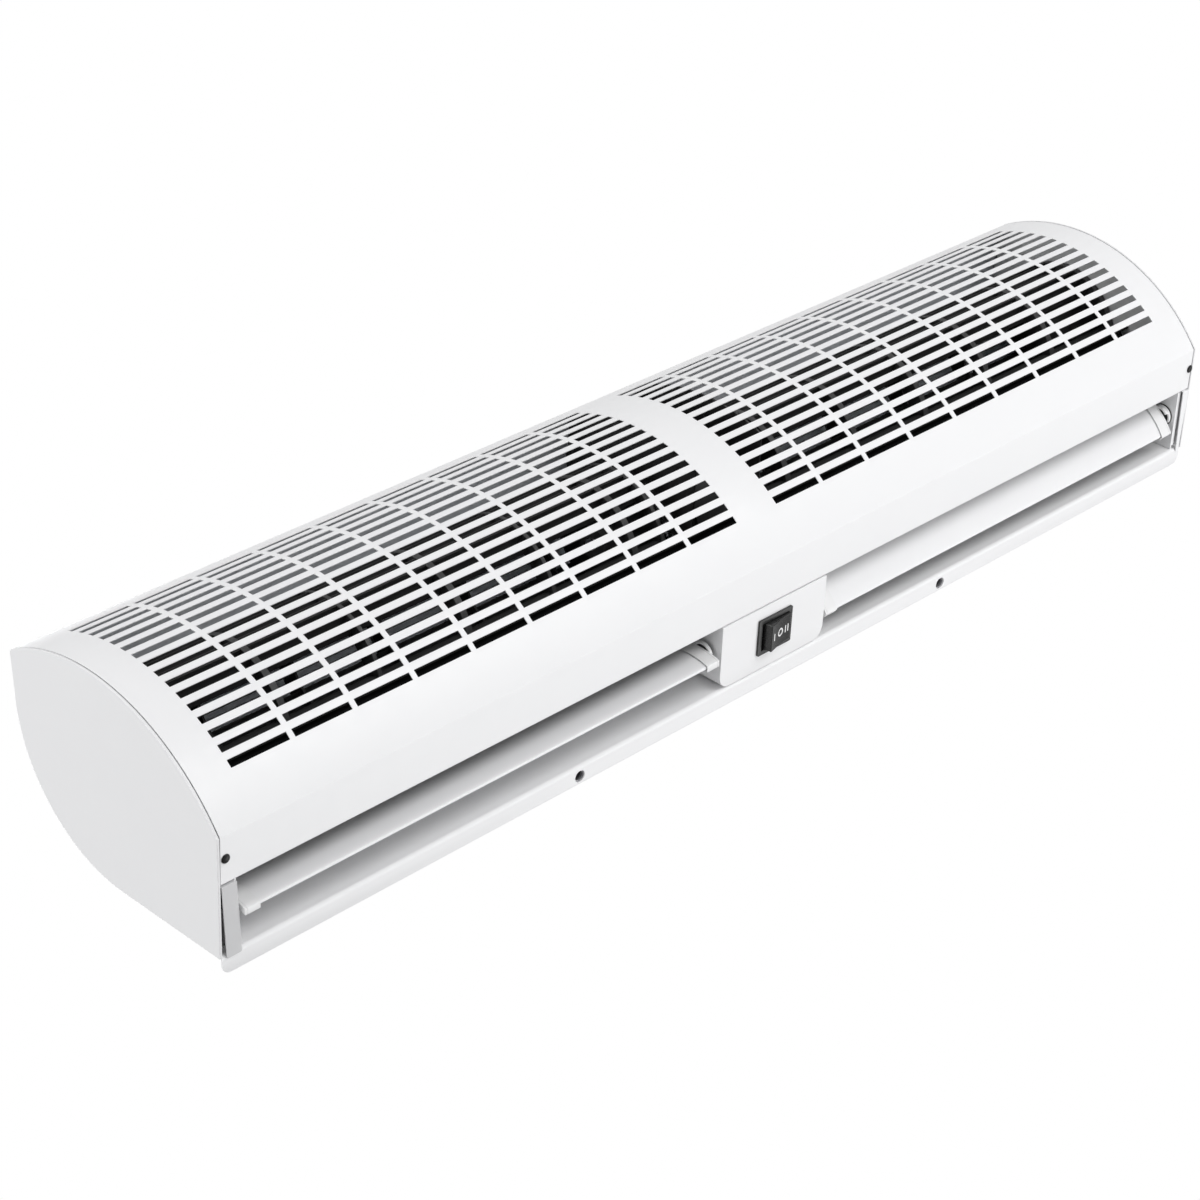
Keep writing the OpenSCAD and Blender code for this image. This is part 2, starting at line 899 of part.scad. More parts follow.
// Black pivot bush: a flange on the wall, a hub for the clip's ring and a stub through the wall.
module pivot_bush(wall_x, side, stand) {
    flange_x = wall_x - side * bush_flange;
    hub_x = wall_x - side * (stand - gap);
    stub_x = wall_x + side * 2.4;
    rod_x(min(wall_x, flange_x), max(wall_x, flange_x), flange_radius, pivot_y, pivot_z);
    rod_x(min(wall_x, hub_x), max(wall_x, hub_x), hub_radius, pivot_y, pivot_z);
    rod_x(min(wall_x, stub_x), max(wall_x, stub_x), 4.1, pivot_y, pivot_z);
}

module louver_pivots() {
    painted([0.12, 0.12, 0.12]) {
        pivot_bush(left_frame_x, -1, near_stand);
        pivot_bush(-housing_half, 1, far_stand);
        pivot_bush(housing_half, -1, near_stand);
        pivot_bush(right_frame_x, 1, far_stand);
    }
}

module housing_plan(inset) {
    r = 9 - inset;
    x = housing_half - inset;
    low = housing_front_y + (inset > 0 ? inset : 0);
    high = housing_rear_y - inset;
    translate([-x, low])
        square([2 * x, high - r - low]);
    translate([-x + r, low])
        square([2 * (x - r), high - low]);
    for (side = [-1, 1])
        translate([side * (x - r), high - r])
            circle(r = r);
}

// Box between the outlets that carries the switch, flush with the outlet band.
module switch_housing() {
    switch_cut_x = switch_body_half_x + switch_cut_room;
    switch_cut_y = switch_body_half_y + switch_cut_room;
    painted("white")
        difference() {
            linear_extrude(height = housing_height)
                housing_plan(0);
            translate([0, 0, housing_wall])
                linear_extrude(height = housing_height)
                    housing_plan(housing_wall);
            box_between([-switch_cut_x, switch_y - switch_cut_y, -1],
                        [switch_cut_x, switch_y + switch_cut_y, 4]);
            for (side = [-1, 1])
                rod_x(side * housing_half - 3, side * housing_half + 3, 4.2, pivot_y, pivot_z);
        }
}

// Switch body with its bezel and the well that the rocker turns in.
module switch_body() {
    well_y = rocker_width / 2 + rocker_side_room;
    pin_half = switch_body_half_y - 0.5;
    painted([0.08, 0.08, 0.08])
        difference() {
            union() {
                box_between([-bezel_length / 2, switch_y - bezel_width / 2, -bezel_height],
                            [bezel_length / 2, switch_y + bezel_width / 2, -0.05]);
                box_between([-switch_body_half_x, switch_y - switch_body_half_y, -0.1],
                            [switch_body_half_x, switch_y + switch_body_half_y, switch_depth]);
            }
            box_between([-switch_well_half_x, switch_y - well_y, -5],
                        [switch_well_half_x, switch_y + well_y, 10]);
            translate([rocker_pivot_x, switch_y, rocker_pivot_z])
                rotate([90, 0, 0])
                    cylinder(r = rocker_pin_radius + run_fit, h = 2 * pin_half, center = true);
        }
}

module switch_terminals() {
    painted("silver")
        for (x = [-9, 0, 9])
            box_between([x - 0.4, switch_y - 3.15, switch_depth + 0.02], [x + 0.4, switch_y + 3.15, 27]);
}

// Rocker about its pivot, before it is tilted: X is across the two pressed ends.
module rocker_solid() {
    difference() {
        union() {
            translate([0, rocker_width / 2, 0])
                rotate([90, 0, 0])
                    linear_extrude(height = rocker_width)
                        polygon([
                            [-rocker_length / 2, -8],
                            [0, -7.3],
                            [rocker_length / 2, -8],
                            [rocker_length / 2 + 0.8, -1],
                            [rocker_length / 2 - 0.4, 3.2],
                            [-rocker_length / 2 + 0.4, 3.2],
                            [-rocker_length / 2 - 0.8, -1]
                        ]);
            rotate([90, 0, 0])
                cylinder(r = rocker_pin_radius, h = rocker_width + 1.4, center = true);
        }
        rocker_marks(0.3);
    }
}

// The I, O and II engraved in the rocker's face.
module rocker_marks(depth) {
    stroke = 0.95;
    height = 4.6;
    face_z = -8.5;
    for (x = [-7.9, 5.4, 7.6])
        translate([x - stroke / 2, -height / 2, face_z])
            cube([stroke, height, 0.72 + depth]);
    translate([-0.3, 0, face_z])
        difference() {
            cylinder(r = height / 2 + 0.1, h = 1.2 + depth);
            translate([0, 0, -1])
                cylinder(r = height / 2 + 0.1 - stroke, h = 4);
        }
}

module rocker() {
    painted([0.1, 0.1, 0.1])
        translate([rocker_pivot_x, switch_y, rocker_pivot_z])
            rotate([0, -rocker_tilt, 0])
                rocker_solid();
}

// Lid of the switch housing, which is also the tray for the connections below the motor.
module service_tray() {
    painted("silver") {
        box_between([-housing_half, housing_front_y, tray_z],
                    [housing_half, back_inner_y - gap, tray_z + sheet]);
        box_between([0, back_inner_y - sheet - gap, tray_z + sheet / 2],
                    [36, back_inner_y - gap, tray_z + 4]);
    }
}

module capacitor() {
    painted("whitesmoke")
        box_between([-8, housing_front_y + 2.5, tray_z + sheet + gap],
                    [30, housing_front_y + 22.5, tray_z + sheet + 22]);
}

module terminal_block() {
    floor_z = tray_z + sheet + gap;
    painted("beige")
        difference() {
            box_between([-6, outlet_rear_y - 16.6, floor_z], [42, outlet_rear_y - 1.6, floor_z + 9]);
            for (way = [0 : 4])
                translate([-1 + way * 9.5, outlet_rear_y - 9.1, floor_z + 4])
                    cylinder(r = 2.2, h = 10);
        }
}

// Rubber ring that the supply cable passes through.
module cable_grommet() {
    painted([0.15, 0.15, 0.15])
        grommet_place()
            difference() {
                union() {
                    translate([0, 0, sheet + 0.05])
                        cylinder(r = 10, h = 1.8);
                    translate([0, 0, -1])
                        cylinder(r = 7.1, h = sheet + 2);
                    translate([0, 0, -1.85])
                        cylinder(r = 10, h = 1.8);
                }
                translate([0, 0, -10])
                    cylinder(r = 4, h = 20);
            }
}

// The two black pan-head screws at the ends of the outlet band.
module cover_screws() {
    painted([0.05, 0.05, 0.05])
        for (x = cover_screw_x)
            translate([x, cover_screw_y, 0])
                difference() {
                    union() {
                        translate([0, 0, -1.3])
                            cylinder(r1 = 2.3, r2 = 2.9, h = 0.7);
                        translate([0, 0, -0.6])
                            cylinder(r = 2.9, h = 0.55);
                        translate([0, 0, -0.1])
                            cylinder(r = 1.4, h = 4.6);
                    }
                    translate([-1.8, -0.3, -2])
                        cube([3.6, 0.6, 1.4]);
                    translate([-0.3, -1.8, -2])
                        cube([0.6, 3.6, 1.4]);
                }
}

/* [View] */
// Piece to draw

front_cover();
rear_casing();
end_cap_left();
end_cap_right();
end_bracket_left();
end_bracket_right();
side_frame_left();
side_frame_right();
outlet_tongue();
hanger_rail();
wall_plate();
motor_plate_left();
motor_plate_right();
motor_body();
motor_rubbers();
motor_clamps();
clamp_screws();
rotor_shaft();
impeller_left();
impeller_right();
end_shafts();
bearing_bushes();
bearing_rubbers();
louver_left();
louver_right();
louver_left_clips();
louver_right_clips();
louver_pivots();
switch_housing();
switch_body();
switch_terminals();
rocker();
service_tray();
capacitor();
terminal_block();
cable_grommet();
cover_screws();
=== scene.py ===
"""Looks of the wall-mounted air curtain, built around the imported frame."""

import math

import bmesh
import bpy
from mathutils import Matrix, Vector


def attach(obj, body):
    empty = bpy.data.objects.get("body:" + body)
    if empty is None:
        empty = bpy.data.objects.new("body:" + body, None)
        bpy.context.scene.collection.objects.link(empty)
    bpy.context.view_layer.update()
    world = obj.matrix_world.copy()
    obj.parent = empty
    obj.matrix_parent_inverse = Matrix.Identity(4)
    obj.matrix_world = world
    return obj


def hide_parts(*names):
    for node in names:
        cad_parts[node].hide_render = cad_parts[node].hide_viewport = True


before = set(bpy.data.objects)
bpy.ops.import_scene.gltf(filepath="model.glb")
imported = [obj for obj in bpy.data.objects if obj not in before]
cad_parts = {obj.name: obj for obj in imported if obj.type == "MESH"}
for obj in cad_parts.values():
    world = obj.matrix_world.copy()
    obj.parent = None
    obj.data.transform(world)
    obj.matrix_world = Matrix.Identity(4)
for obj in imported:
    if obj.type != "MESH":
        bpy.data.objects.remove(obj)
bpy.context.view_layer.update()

# ---------------------------------------- camera
# Fitted to the photograph: the long edges and the slot grid give place, turn and focal length.
LENS, SENSOR = 91.74, 36.0
EYE = Vector((-1.28532, -1.02574, -1.08014))
LOOK_RIGHT = Vector((0.69597, -0.04174, -0.71686))
LOOK_ALONG = Vector((0.63275, 0.50763, 0.58476))


def place_camera():
    """Sets the fitted camera, which looks up at the unit from the left."""
    data = bpy.data.cameras.new("camera")
    data.sensor_width = SENSOR
    data.lens = LENS
    data.clip_start, data.clip_end = 0.05, 60.0
    camera = bpy.data.objects.new("camera", data)
    bpy.context.scene.collection.objects.link(camera)
    up = LOOK_RIGHT.cross(LOOK_ALONG).normalized()
    turn = Matrix((LOOK_RIGHT, up, -LOOK_ALONG)).transposed()
    camera.matrix_world = Matrix.Translation(EYE) @ turn.to_4x4()
    bpy.context.scene.camera = camera


place_camera()

# ---------------------------------------- sizes in mm, as in the CAD source
MM = 0.001
DROP = 42.0  # the row's origin lies this far above the outlet face, which is Z = 0 in the drawing
HALF = 450.0  # of the length over the end caps
COVER_HALF = 448.2
COVER_END = 447.7  # the cover's ends stand a little off the caps, which shows as a dark seam
CAP_SHEET, SHEET = 1.5, 1.2
COVER_SHEET = 0.6  # the slots' cut edges show a thinner sheet
GAP = 0.3  # between pieces that don't touch
FRONT_R, FRONT_Y, FRONT_Z = 135.2, -11.3, 109.1
REAR_R, REAR_Y, REAR_Z = 91.5, -104.0, 83.7
BACK_Y = -12.5
FOLD_Y = FRONT_Y - math.sqrt(FRONT_R**2 - FRONT_Z**2)
BAND_WIDTH = 31.4
BAND_Y = FOLD_Y + BAND_WIDTH
SLOPE_DEGREES = 6
SLOPE = math.radians(SLOPE_DEGREES)
REAR_TOP = 90 - SLOPE_DEGREES  # degrees; where the rear curve meets the sloping top
JOIN_Y = REAR_Y + REAR_R * math.sin(SLOPE)
JOIN_Z = REAR_Z + REAR_R * math.cos(SLOPE)
LEFT_FRAME, RIGHT_FRAME = -436.4, 438.4
OUTLET_REAR_Y = BACK_Y - SHEET - 2.7
PIVOT_Y, PIVOT_Z = (BAND_Y + OUTLET_REAR_Y) / 2, 12.0
FAN_Y, FAN_Z, FAN_R = -76.0, 108.0, 47.5
HOUSE = 49.0  # half of the switch housing's length
HOUSE_FRONT_Y, HOUSE_REAR_Y = BAND_Y + GAP, BACK_Y - SHEET - 0.8
SWITCH_Y = (HOUSE_FRONT_Y + OUTLET_REAR_Y - 0.1) / 2 - 0.5
SCREW_X, SCREW_Y = (-HALF + 5.7, HALF - 4.2), FOLD_Y + 14.6
FIXING_X, FIXING_Y, FIXING_R = 172.0, -5.8, 4.0


def top_line(y):
    """Height of the sloping top."""
    return JOIN_Z - (y - JOIN_Y) * math.tan(SLOPE)


def corner_at(depth):
    """Where the top's sloping line meets the round front, both drawn in by some depth."""
    m = math.tan(SLOPE)
    k = JOIN_Z + m * JOIN_Y - depth - FRONT_Z
    a, b = 1 + m * m, -2 * (FRONT_Y + m * k)
    c = FRONT_Y**2 + k * k - (FRONT_R - depth) ** 2
    return (-b - math.sqrt(b * b - 4 * a * c)) / (2 * a)


def top_angle(depth):
    """Where the round front, drawn in by some depth, ends at the top; in degrees."""
    corner = corner_at(depth)
    return math.degrees(math.atan2(top_line(corner) - depth - FRONT_Z, corner - FRONT_Y))


FOLD_ANGLE = 360 + math.degrees(math.atan2(-FRONT_Z, FOLD_Y - FRONT_Y))
COVER_TOP = 21.0  # the cover's strip on the top, which laps over the rear casing
LAP_Y = corner_at(0) + COVER_TOP


def arc(cy, cz, r, start, end, count):
    """Points on an arc in the YZ plane; angles in degrees from +Y towards +Z."""
    made = []
    for i in range(count + 1):
        a = math.radians(start + (end - start) * i / count)
        made.append((cy + r * math.cos(a), cz + r * math.sin(a)))
    return made


def rounded(points, radii, count=4, closed=False):
    """The same outline with its listed corners rounded off: {index: radius}."""
    made = []
    n = len(points)
    for i, p in enumerate(points):
        r = radii.get(i, 0)
        if not r or (not closed and i in (0, n - 1)):
            made.append(p)
            continue
        here = Vector(p)
        before = (Vector(points[i - 1]) - here).normalized()
        after = (Vector(points[(i + 1) % n]) - here).normalized()
        half = before.angle(after) / 2
        reach = r / math.tan(half)
        centre = here + (before + after).normalized() * (r / math.sin(half))
        p0, p1 = here + before * reach - centre, here + after * reach - centre
        for k in range(count + 1):
            made.append(tuple(centre + p0.slerp(p1, k / count)))
    return made


# ---------------------------------------- mesh helpers
def put(bm, name, body, looks, replaces=(), angle=32, merge=0.0005):
    """Turns a mesh drawn in millimetres into an object in the row frame that rides a body."""
    if merge:
        bmesh.ops.remove_doubles(bm, verts=bm.verts, dist=merge)
    bmesh.ops.recalc_face_normals(bm, faces=bm.faces)
    bmesh.ops.scale(bm, vec=(MM, MM, MM), verts=bm.verts)
    bmesh.ops.translate(bm, vec=(0, 0, -DROP * MM), verts=bm.verts)
    return finish(bm, name, body, looks, replaces, angle)


CLEAR_BEND, MUCH_LARGER = 8, 30  # degrees; how many times the neighbour's area


def is_soft(edge, angle):
    """Curves shade smoothly; a large flat face beside a narrow rounded edge stays flat."""
    if len(edge.link_faces) != 2:
        return False
    bend = math.degrees(edge.calc_face_angle(0))
    small, large = sorted(f.calc_area() for f in edge.link_faces)
    return bend < angle and not (bend > CLEAR_BEND and large > MUCH_LARGER * small)


def finish(bm, name, body, looks, replaces, angle):
    """Makes the mesh an object with its finishes, body and the nodes that it replaces."""
    for f in bm.faces:
        f.smooth = True
    for e in bm.edges:
        e.smooth = is_soft(e, angle)
    mesh = bpy.data.meshes.new(name)
    bm.to_mesh(mesh)
    bm.free()
    for look in looks if isinstance(looks, (list, tuple)) else [looks]:
        mesh.materials.append(look)
    obj = bpy.data.objects.new(name, mesh)
    bpy.context.scene.collection.objects.link(obj)
    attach(obj, body)
    if replaces:
        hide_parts(*replaces)
    return obj


def chain(bm, points, x):
    """An open line of edges at one X through points given in Y and Z."""
    verts = [bm.verts.new((x, y, z)) for y, z in points]
    return [bm.edges.new(pair) for pair in zip(verts, verts[1:])]


def sweep(bm, edges, steps):
    """Extrudes a line of edges along X through the listed positions."""
    at = edges[0].verts[0].co.x
    made = []
    for x in steps:
        out = bmesh.ops.extrude_edge_only(bm, edges=edges)["geom"]
        verts = [g for g in out if isinstance(g, bmesh.types.BMVert)]
        edges = [g for g in out if isinstance(g, bmesh.types.BMEdge)]
        made += [g for g in out if isinstance(g, bmesh.types.BMFace)]
        edges = [e for e in edges if all(v in verts for v in e.verts)]
        bmesh.ops.translate(bm, vec=(x - at, 0, 0), verts=verts)
        at = x
    return made


def plate(bm, loops, along):
    """A flat plate: closed loops of 3-D points, the first one outside, thickened by a vector."""
    edges = []
    for loop in loops:
        verts = [bm.verts.new(p) for p in loop]
        edges += [bm.edges.new((verts[i - 1], verts[i])) for i in range(len(verts))]
    if len(loops) == 1:
        faces = bmesh.ops.edgenet_fill(bm, edges=edges)["faces"]
    else:
        out = bmesh.ops.triangle_fill(bm, edges=edges, use_beauty=True)["geom"]
        faces = [g for g in out if isinstance(g, bmesh.types.BMFace)]
    before = set(bm.faces)
    out = bmesh.ops.extrude_face_region(bm, geom=faces, use_keep_orig=True)["geom"]
    verts = [g for g in out if isinstance(g, bmesh.types.BMVert)]
    bmesh.ops.translate(bm, vec=along, verts=verts)
    return faces + [f for f in bm.faces if f not in before]


def in_x(points, x):
    """Points given in Y and Z, at one X."""
    return [(x, y, z) for y, z in points]


def circle(cx, cy, r, half_count):
    """Points round a centre, in two halves."""
    made = []
    for start in (-90, 90):
        for i in range(half_count):
            a = math.radians(start + 180 * i / half_count)
            made.append((cx + r * math.cos(a), cy + r * math.sin(a)))
    return made


def block(bm, low, high):
    """A box between two corners."""
    out = bmesh.ops.create_cube(bm, size=1.0)["verts"]
    size = [h - l for l, h in zip(low, high)]
    bmesh.ops.scale(bm, vec=size, verts=out)
    bmesh.ops.translate(bm, vec=[(l + h) / 2 for l, h in zip(low, high)], verts=out)
    return out


def turned(bm, outline, place, sides=48, closed=True):
    """Spins an outline of (radius, height) pairs about local Z and puts it in place."""
    verts = [bm.verts.new((r, 0, h)) for r, h in outline]
    first = 0 if closed else 1
    edges = [bm.edges.new((verts[i - 1], verts[i])) for i in range(first, len(verts))]
    before = set(bm.verts)
    bmesh.ops.spin(bm, geom=verts + edges, cent=(0, 0, 0), axis=(0, 0, 1), dvec=(0, 0, 0),
                   angle=math.tau, steps=sides, use_merge=True, use_duplicate=False)
    out = verts + [v for v in bm.verts if v not in before]
    bmesh.ops.transform(bm, matrix=place, verts=out)
    return out


def soften(bm, width, segments=2, angle=40, keep=lambda edge: True):
    """Rounds the edges that bend by more than an angle, in degrees, and that the test keeps."""
    edges = [e for e in bm.edges if len(e.link_faces) == 2 and keep(e)
             and e.calc_face_angle(0) > math.radians(angle)]
    bmesh.ops.bevel(bm, geom=edges, offset=width, offset_type="OFFSET", affect="EDGES",
                    segments=segments, profile=0.5, material=-1, clamp_overlap=True)


# ---------------------------------------- materials
def skin_group():
    """Tone with soft patches or crystal cells, uneven gloss and a fine grain, for every finish."""
    group = bpy.data.node_groups.new("skin", "ShaderNodeTree")
    for way, kind, names in (
            ("INPUT", "Vector", ("Vector",)),
            ("INPUT", "Color", ("Tone", "Patch Tone")),
            ("INPUT", "Float", ("Patch Scale", "Cells", "Gloss", "Gloss Spread", "Grain Scale")),
            ("OUTPUT", "Color", ("Color",)),
            ("OUTPUT", "Float", ("Roughness", "Height"))):
        for name in names:
            group.interface.new_socket(name=name, in_out=way, socket_type="NodeSocket" + kind)
    nodes, links = group.nodes, group.links
    given = nodes.new("NodeGroupInput")
    result = nodes.new("NodeGroupOutput")

    def noise(scale, detail):
        node = nodes.new("ShaderNodeTexNoise")
        node.inputs["Detail"].default_value = detail
        links.new(given.outputs["Vector"], node.inputs["Vector"])
        links.new(scale, node.inputs["Scale"])
        return node.outputs["Fac"]

    def math_node(operation, first, second):
        node = nodes.new("ShaderNodeMath")
        node.operation = operation
        for socket, value in zip(node.inputs, (first, second)):
            if isinstance(value, float):
                socket.default_value = value
            else:
                links.new(value, socket)
        return node.outputs["Value"]

    cloud = noise(given.outputs["Patch Scale"], 4.0)
    cells = nodes.new("ShaderNodeTexVoronoi")
    links.new(given.outputs["Vector"], cells.inputs["Vector"])
    links.new(given.outputs["Patch Scale"], cells.inputs["Scale"])
    flakes = nodes.new("ShaderNodeSeparateColor")
    links.new(cells.outputs["Color"], flakes.inputs["Color"])
    choice = nodes.new("ShaderNodeMix")
    links.new(given.outputs["Cells"], choice.inputs["Factor"])
    links.new(cloud, choice.inputs["A"])
    links.new(flakes.outputs["Red"], choice.inputs["B"])
    patch = choice.outputs["Result"]
    tone = nodes.new("ShaderNodeMix")
    tone.data_type = "RGBA"
    links.new(patch, tone.inputs["Factor"])
    links.new(given.outputs["Tone"], tone.inputs["A"])
    links.new(given.outputs["Patch Tone"], tone.inputs["B"])
    links.new(tone.outputs["Result"], result.inputs["Color"])
    fine = noise(math_node("MULTIPLY", given.outputs["Patch Scale"], 4.0), 3.0)
    shift = math_node("MULTIPLY", math_node("SUBTRACT", fine, 0.5), given.outputs["Gloss Spread"])
    links.new(math_node("ADD", given.outputs["Gloss"], shift), result.inputs["Roughness"])
    links.new(noise(given.outputs["Grain Scale"], 2.0), result.inputs["Height"])
    return group


SKIN = skin_group()


GRAIN_DEPTH = 0.0004  # metres


def surface(name, tone, patch_tone, rough, metal=0.0, patch=30.0, cells=0.0, spread=0.16,
            grain=900.0, bump=0.06, stretch=(1, 1, 1), shine=0.5):
    """A finish in Object coordinates, with its own values of the shared skin."""
    look = bpy.data.materials.new(name)
    look.use_nodes = True
    look.diffuse_color = (*tone, 1)
    tree = look.node_tree
    shader = tree.nodes["Principled BSDF"]
    shader.inputs["Metallic"].default_value = metal
    shader.inputs["Specular IOR Level"].default_value = shine
    place = tree.nodes.new("ShaderNodeTexCoord")
    scale = tree.nodes.new("ShaderNodeMapping")
    scale.inputs["Scale"].default_value = stretch
    tree.links.new(place.outputs["Object"], scale.inputs["Vector"])
    skin = tree.nodes.new("ShaderNodeGroup")
    skin.node_tree = SKIN
    tree.links.new(scale.outputs["Vector"], skin.inputs["Vector"])
    skin.inputs["Tone"].default_value = (*tone, 1)
    skin.inputs["Patch Tone"].default_value = (*patch_tone, 1)
    for socket, value in (("Patch Scale", patch), ("Cells", cells), ("Gloss", rough),
                          ("Gloss Spread", spread), ("Grain Scale", grain)):
        skin.inputs[socket].default_value = value
    tree.links.new(skin.outputs["Color"], shader.inputs["Base Color"])
    tree.links.new(skin.outputs["Roughness"], shader.inputs["Roughness"])
    lumps = tree.nodes.new("ShaderNodeBump")
    lumps.inputs["Strength"].default_value = bump
    lumps.inputs["Distance"].default_value = GRAIN_DEPTH
    tree.links.new(skin.outputs["Height"], lumps.inputs["Height"])
    tree.links.new(lumps.outputs["Normal"], shader.inputs["Normal"])
    return look


def grey(value, blue=0.0):
    """A grey tone, a little bluer where wanted."""
    return value, value, value + blue


# coated sheet and its moulded clips
white = surface("white_powder_coat", grey(0.87, 0.004), grey(0.85, 0.008), 0.40,
                patch=22.0, grain=1100.0, bump=0.05)
# a darker copy of the white coat for the end caps: painted shade on the ends, which face away from
# the main light
shaded_cap_white = surface("white_powder_coat_caps_painted_shade", grey(0.80, 0.004), grey(0.78, 0.008), 0.42,
                    patch=22.0, grain=1100.0, bump=0.05)
# a darker copy of the white coat for the left post only: painted shade, as the left end lies in
# shade
shaded_post_white = surface("white_powder_coat_post_painted_shade", grey(0.60, 0.004), grey(0.57, 0.008), 0.42,
                     patch=22.0, grain=1100.0, bump=0.05)
blade_white = surface("white_blade_coat", grey(0.86, 0.006), grey(0.84, 0.010), 0.36,
                      patch=18.0, grain=1400.0, bump=0.04)
# a darker, bluer copy of the white coat for the inner faces: painted shade inside the casing, whose
# sheet is white on both sides
inner_shade_grey = surface("painted_inner_shade", (0.80, 0.82, 0.86), (0.72, 0.74, 0.78), 0.45,
                     patch=40.0, cells=0.3, grain=900.0, bump=0.05)
clip_white = surface("white_clip_plastic", grey(0.84), grey(0.81), 0.38,
                     patch=60.0, grain=700.0, bump=0.05)
# bare and painted metal
zinc = surface("zinc_sheet", grey(0.66, 0.02), grey(0.54, 0.02), 0.36, metal=0.85,
               patch=110.0, cells=0.8, spread=0.3, grain=500.0, bump=0.05)
black = surface("black_paint", grey(0.022), grey(0.030), 0.50,
                patch=45.0, grain=800.0, bump=0.1)
duct_black = surface("duct_paint", grey(0.016), grey(0.022), 0.75,
                     patch=45.0, grain=800.0, bump=0.1, shine=0.15)
fan_black = surface("fan_black", grey(0.050), grey(0.080), 0.60,
                    patch=60.0, grain=900.0, bump=0.1, shine=0.2)
fan_rim = surface("fan_rim", grey(0.09), grey(0.15), 0.45, metal=0.3,
                  patch=60.0, grain=900.0, bump=0.1, shine=0.3)
steel = surface("turned_steel", grey(0.68, 0.02), grey(0.60, 0.02), 0.28, metal=1.0,
                patch=90.0, grain=1500.0, bump=0.04, stretch=(6, 1, 1))
screw_black = surface("black_oxide", grey(0.006), grey(0.010), 0.30,
                      patch=200.0, grain=2500.0, shine=0.25)
bronze = surface("bearing_bronze", (0.58, 0.40, 0.21), (0.50, 0.35, 0.19), 0.4, metal=1.0,
                 patch=120.0, grain=1500.0, bump=0.08)
# rubber and plastic
rubber = surface("black_rubber", grey(0.022), grey(0.030), 0.72,
                 patch=80.0, grain=1200.0, bump=0.14)
plastic_black = surface("black_plastic", grey(0.016), grey(0.022), 0.38,
                        patch=120.0, grain=1800.0, bump=0.05)
rocker_black = surface("rocker_plastic", grey(0.010), grey(0.014), 0.26,
                       patch=150.0, grain=2200.0, bump=0.03)
mark_white = surface("mark_white", grey(0.86), grey(0.82), 0.5,
                     patch=300.0, grain=2500.0, bump=0.03)
cream = surface("cream_plastic", (0.80, 0.76, 0.64), (0.77, 0.73, 0.61), 0.45, patch=60.0)
can_white = surface("can_plastic", (0.78, 0.78, 0.76), (0.75, 0.75, 0.73), 0.4, patch=60.0)
floor_look = surface("floor", grey(0.86), grey(0.84), 0.9,
                     patch=0.6, spread=0.0, grain=40.0, bump=0.0)


def paint_inner_shade(bm, cy, cz, low):
    """Gives the second finish, a darker and bluer copy of the white painted as shade inside the
    casing, to the faces above some height that look towards an axis along X.
    """
    bmesh.ops.recalc_face_normals(bm, faces=bm.faces)
    for f in bm.faces:
        c = f.calc_center_median()
        out = Vector((0, c.y - cy, c.z - cz)).normalized()
        if c.z > low and f.normal.dot(out) < -0.3:
            f.material_index = 1


# ---------------------------------------- front cover
ROWS, FIRST_ROW, ROW_STEP = 16, 21.6, 4.08  # angles in degrees; the first row is above the centre
COLUMNS, FIRST_COLUMN, COLUMN_STEP = 9, 39.0, 45.25
SLOT_TALL, SLOT_LONG = 4.9, 41.5
SLOT_HALF = math.degrees(SLOT_TALL / 2 / FRONT_R)
SLOT_X = SLOT_LONG / 2
COLUMN_X = [side * (FIRST_COLUMN + COLUMN_STEP * k) for side in (-1, 1) for k in range(COLUMNS)]
CURVE_STEP = 2.3  # degrees between the points of the round front, at most
LIP, LIP_SHORT = 8.0, 0.6  # the band's rear edge turns up by this, and stops short of the frames
TOP_BEND, FOLD_BEND, LIP_BEND = 1.4, 1.0, 1.3
CUT_EASE, EDGE_EASE = 0.22, 0.3


def front_curve():
    """The round front from the top corner to the fold, with a point at each slot's edges."""
    marks = [top_angle(0)]
    for row in range(ROWS):
        middle = 180 - FIRST_ROW + row * ROW_STEP
        marks += [middle - SLOT_HALF, middle + SLOT_HALF]
    marks.append(FOLD_ANGLE)
    angles = marks[:1]
    for mark in marks[1:]:
        start = angles[-1]
        parts = max(1, math.ceil((mark - start) / CURVE_STEP))
        angles += [start + (mark - start) * (i + 1) / parts for i in range(parts)]
    return [arc(FRONT_Y, FRONT_Z, FRONT_R, a, a, 1)[0] for a in angles]


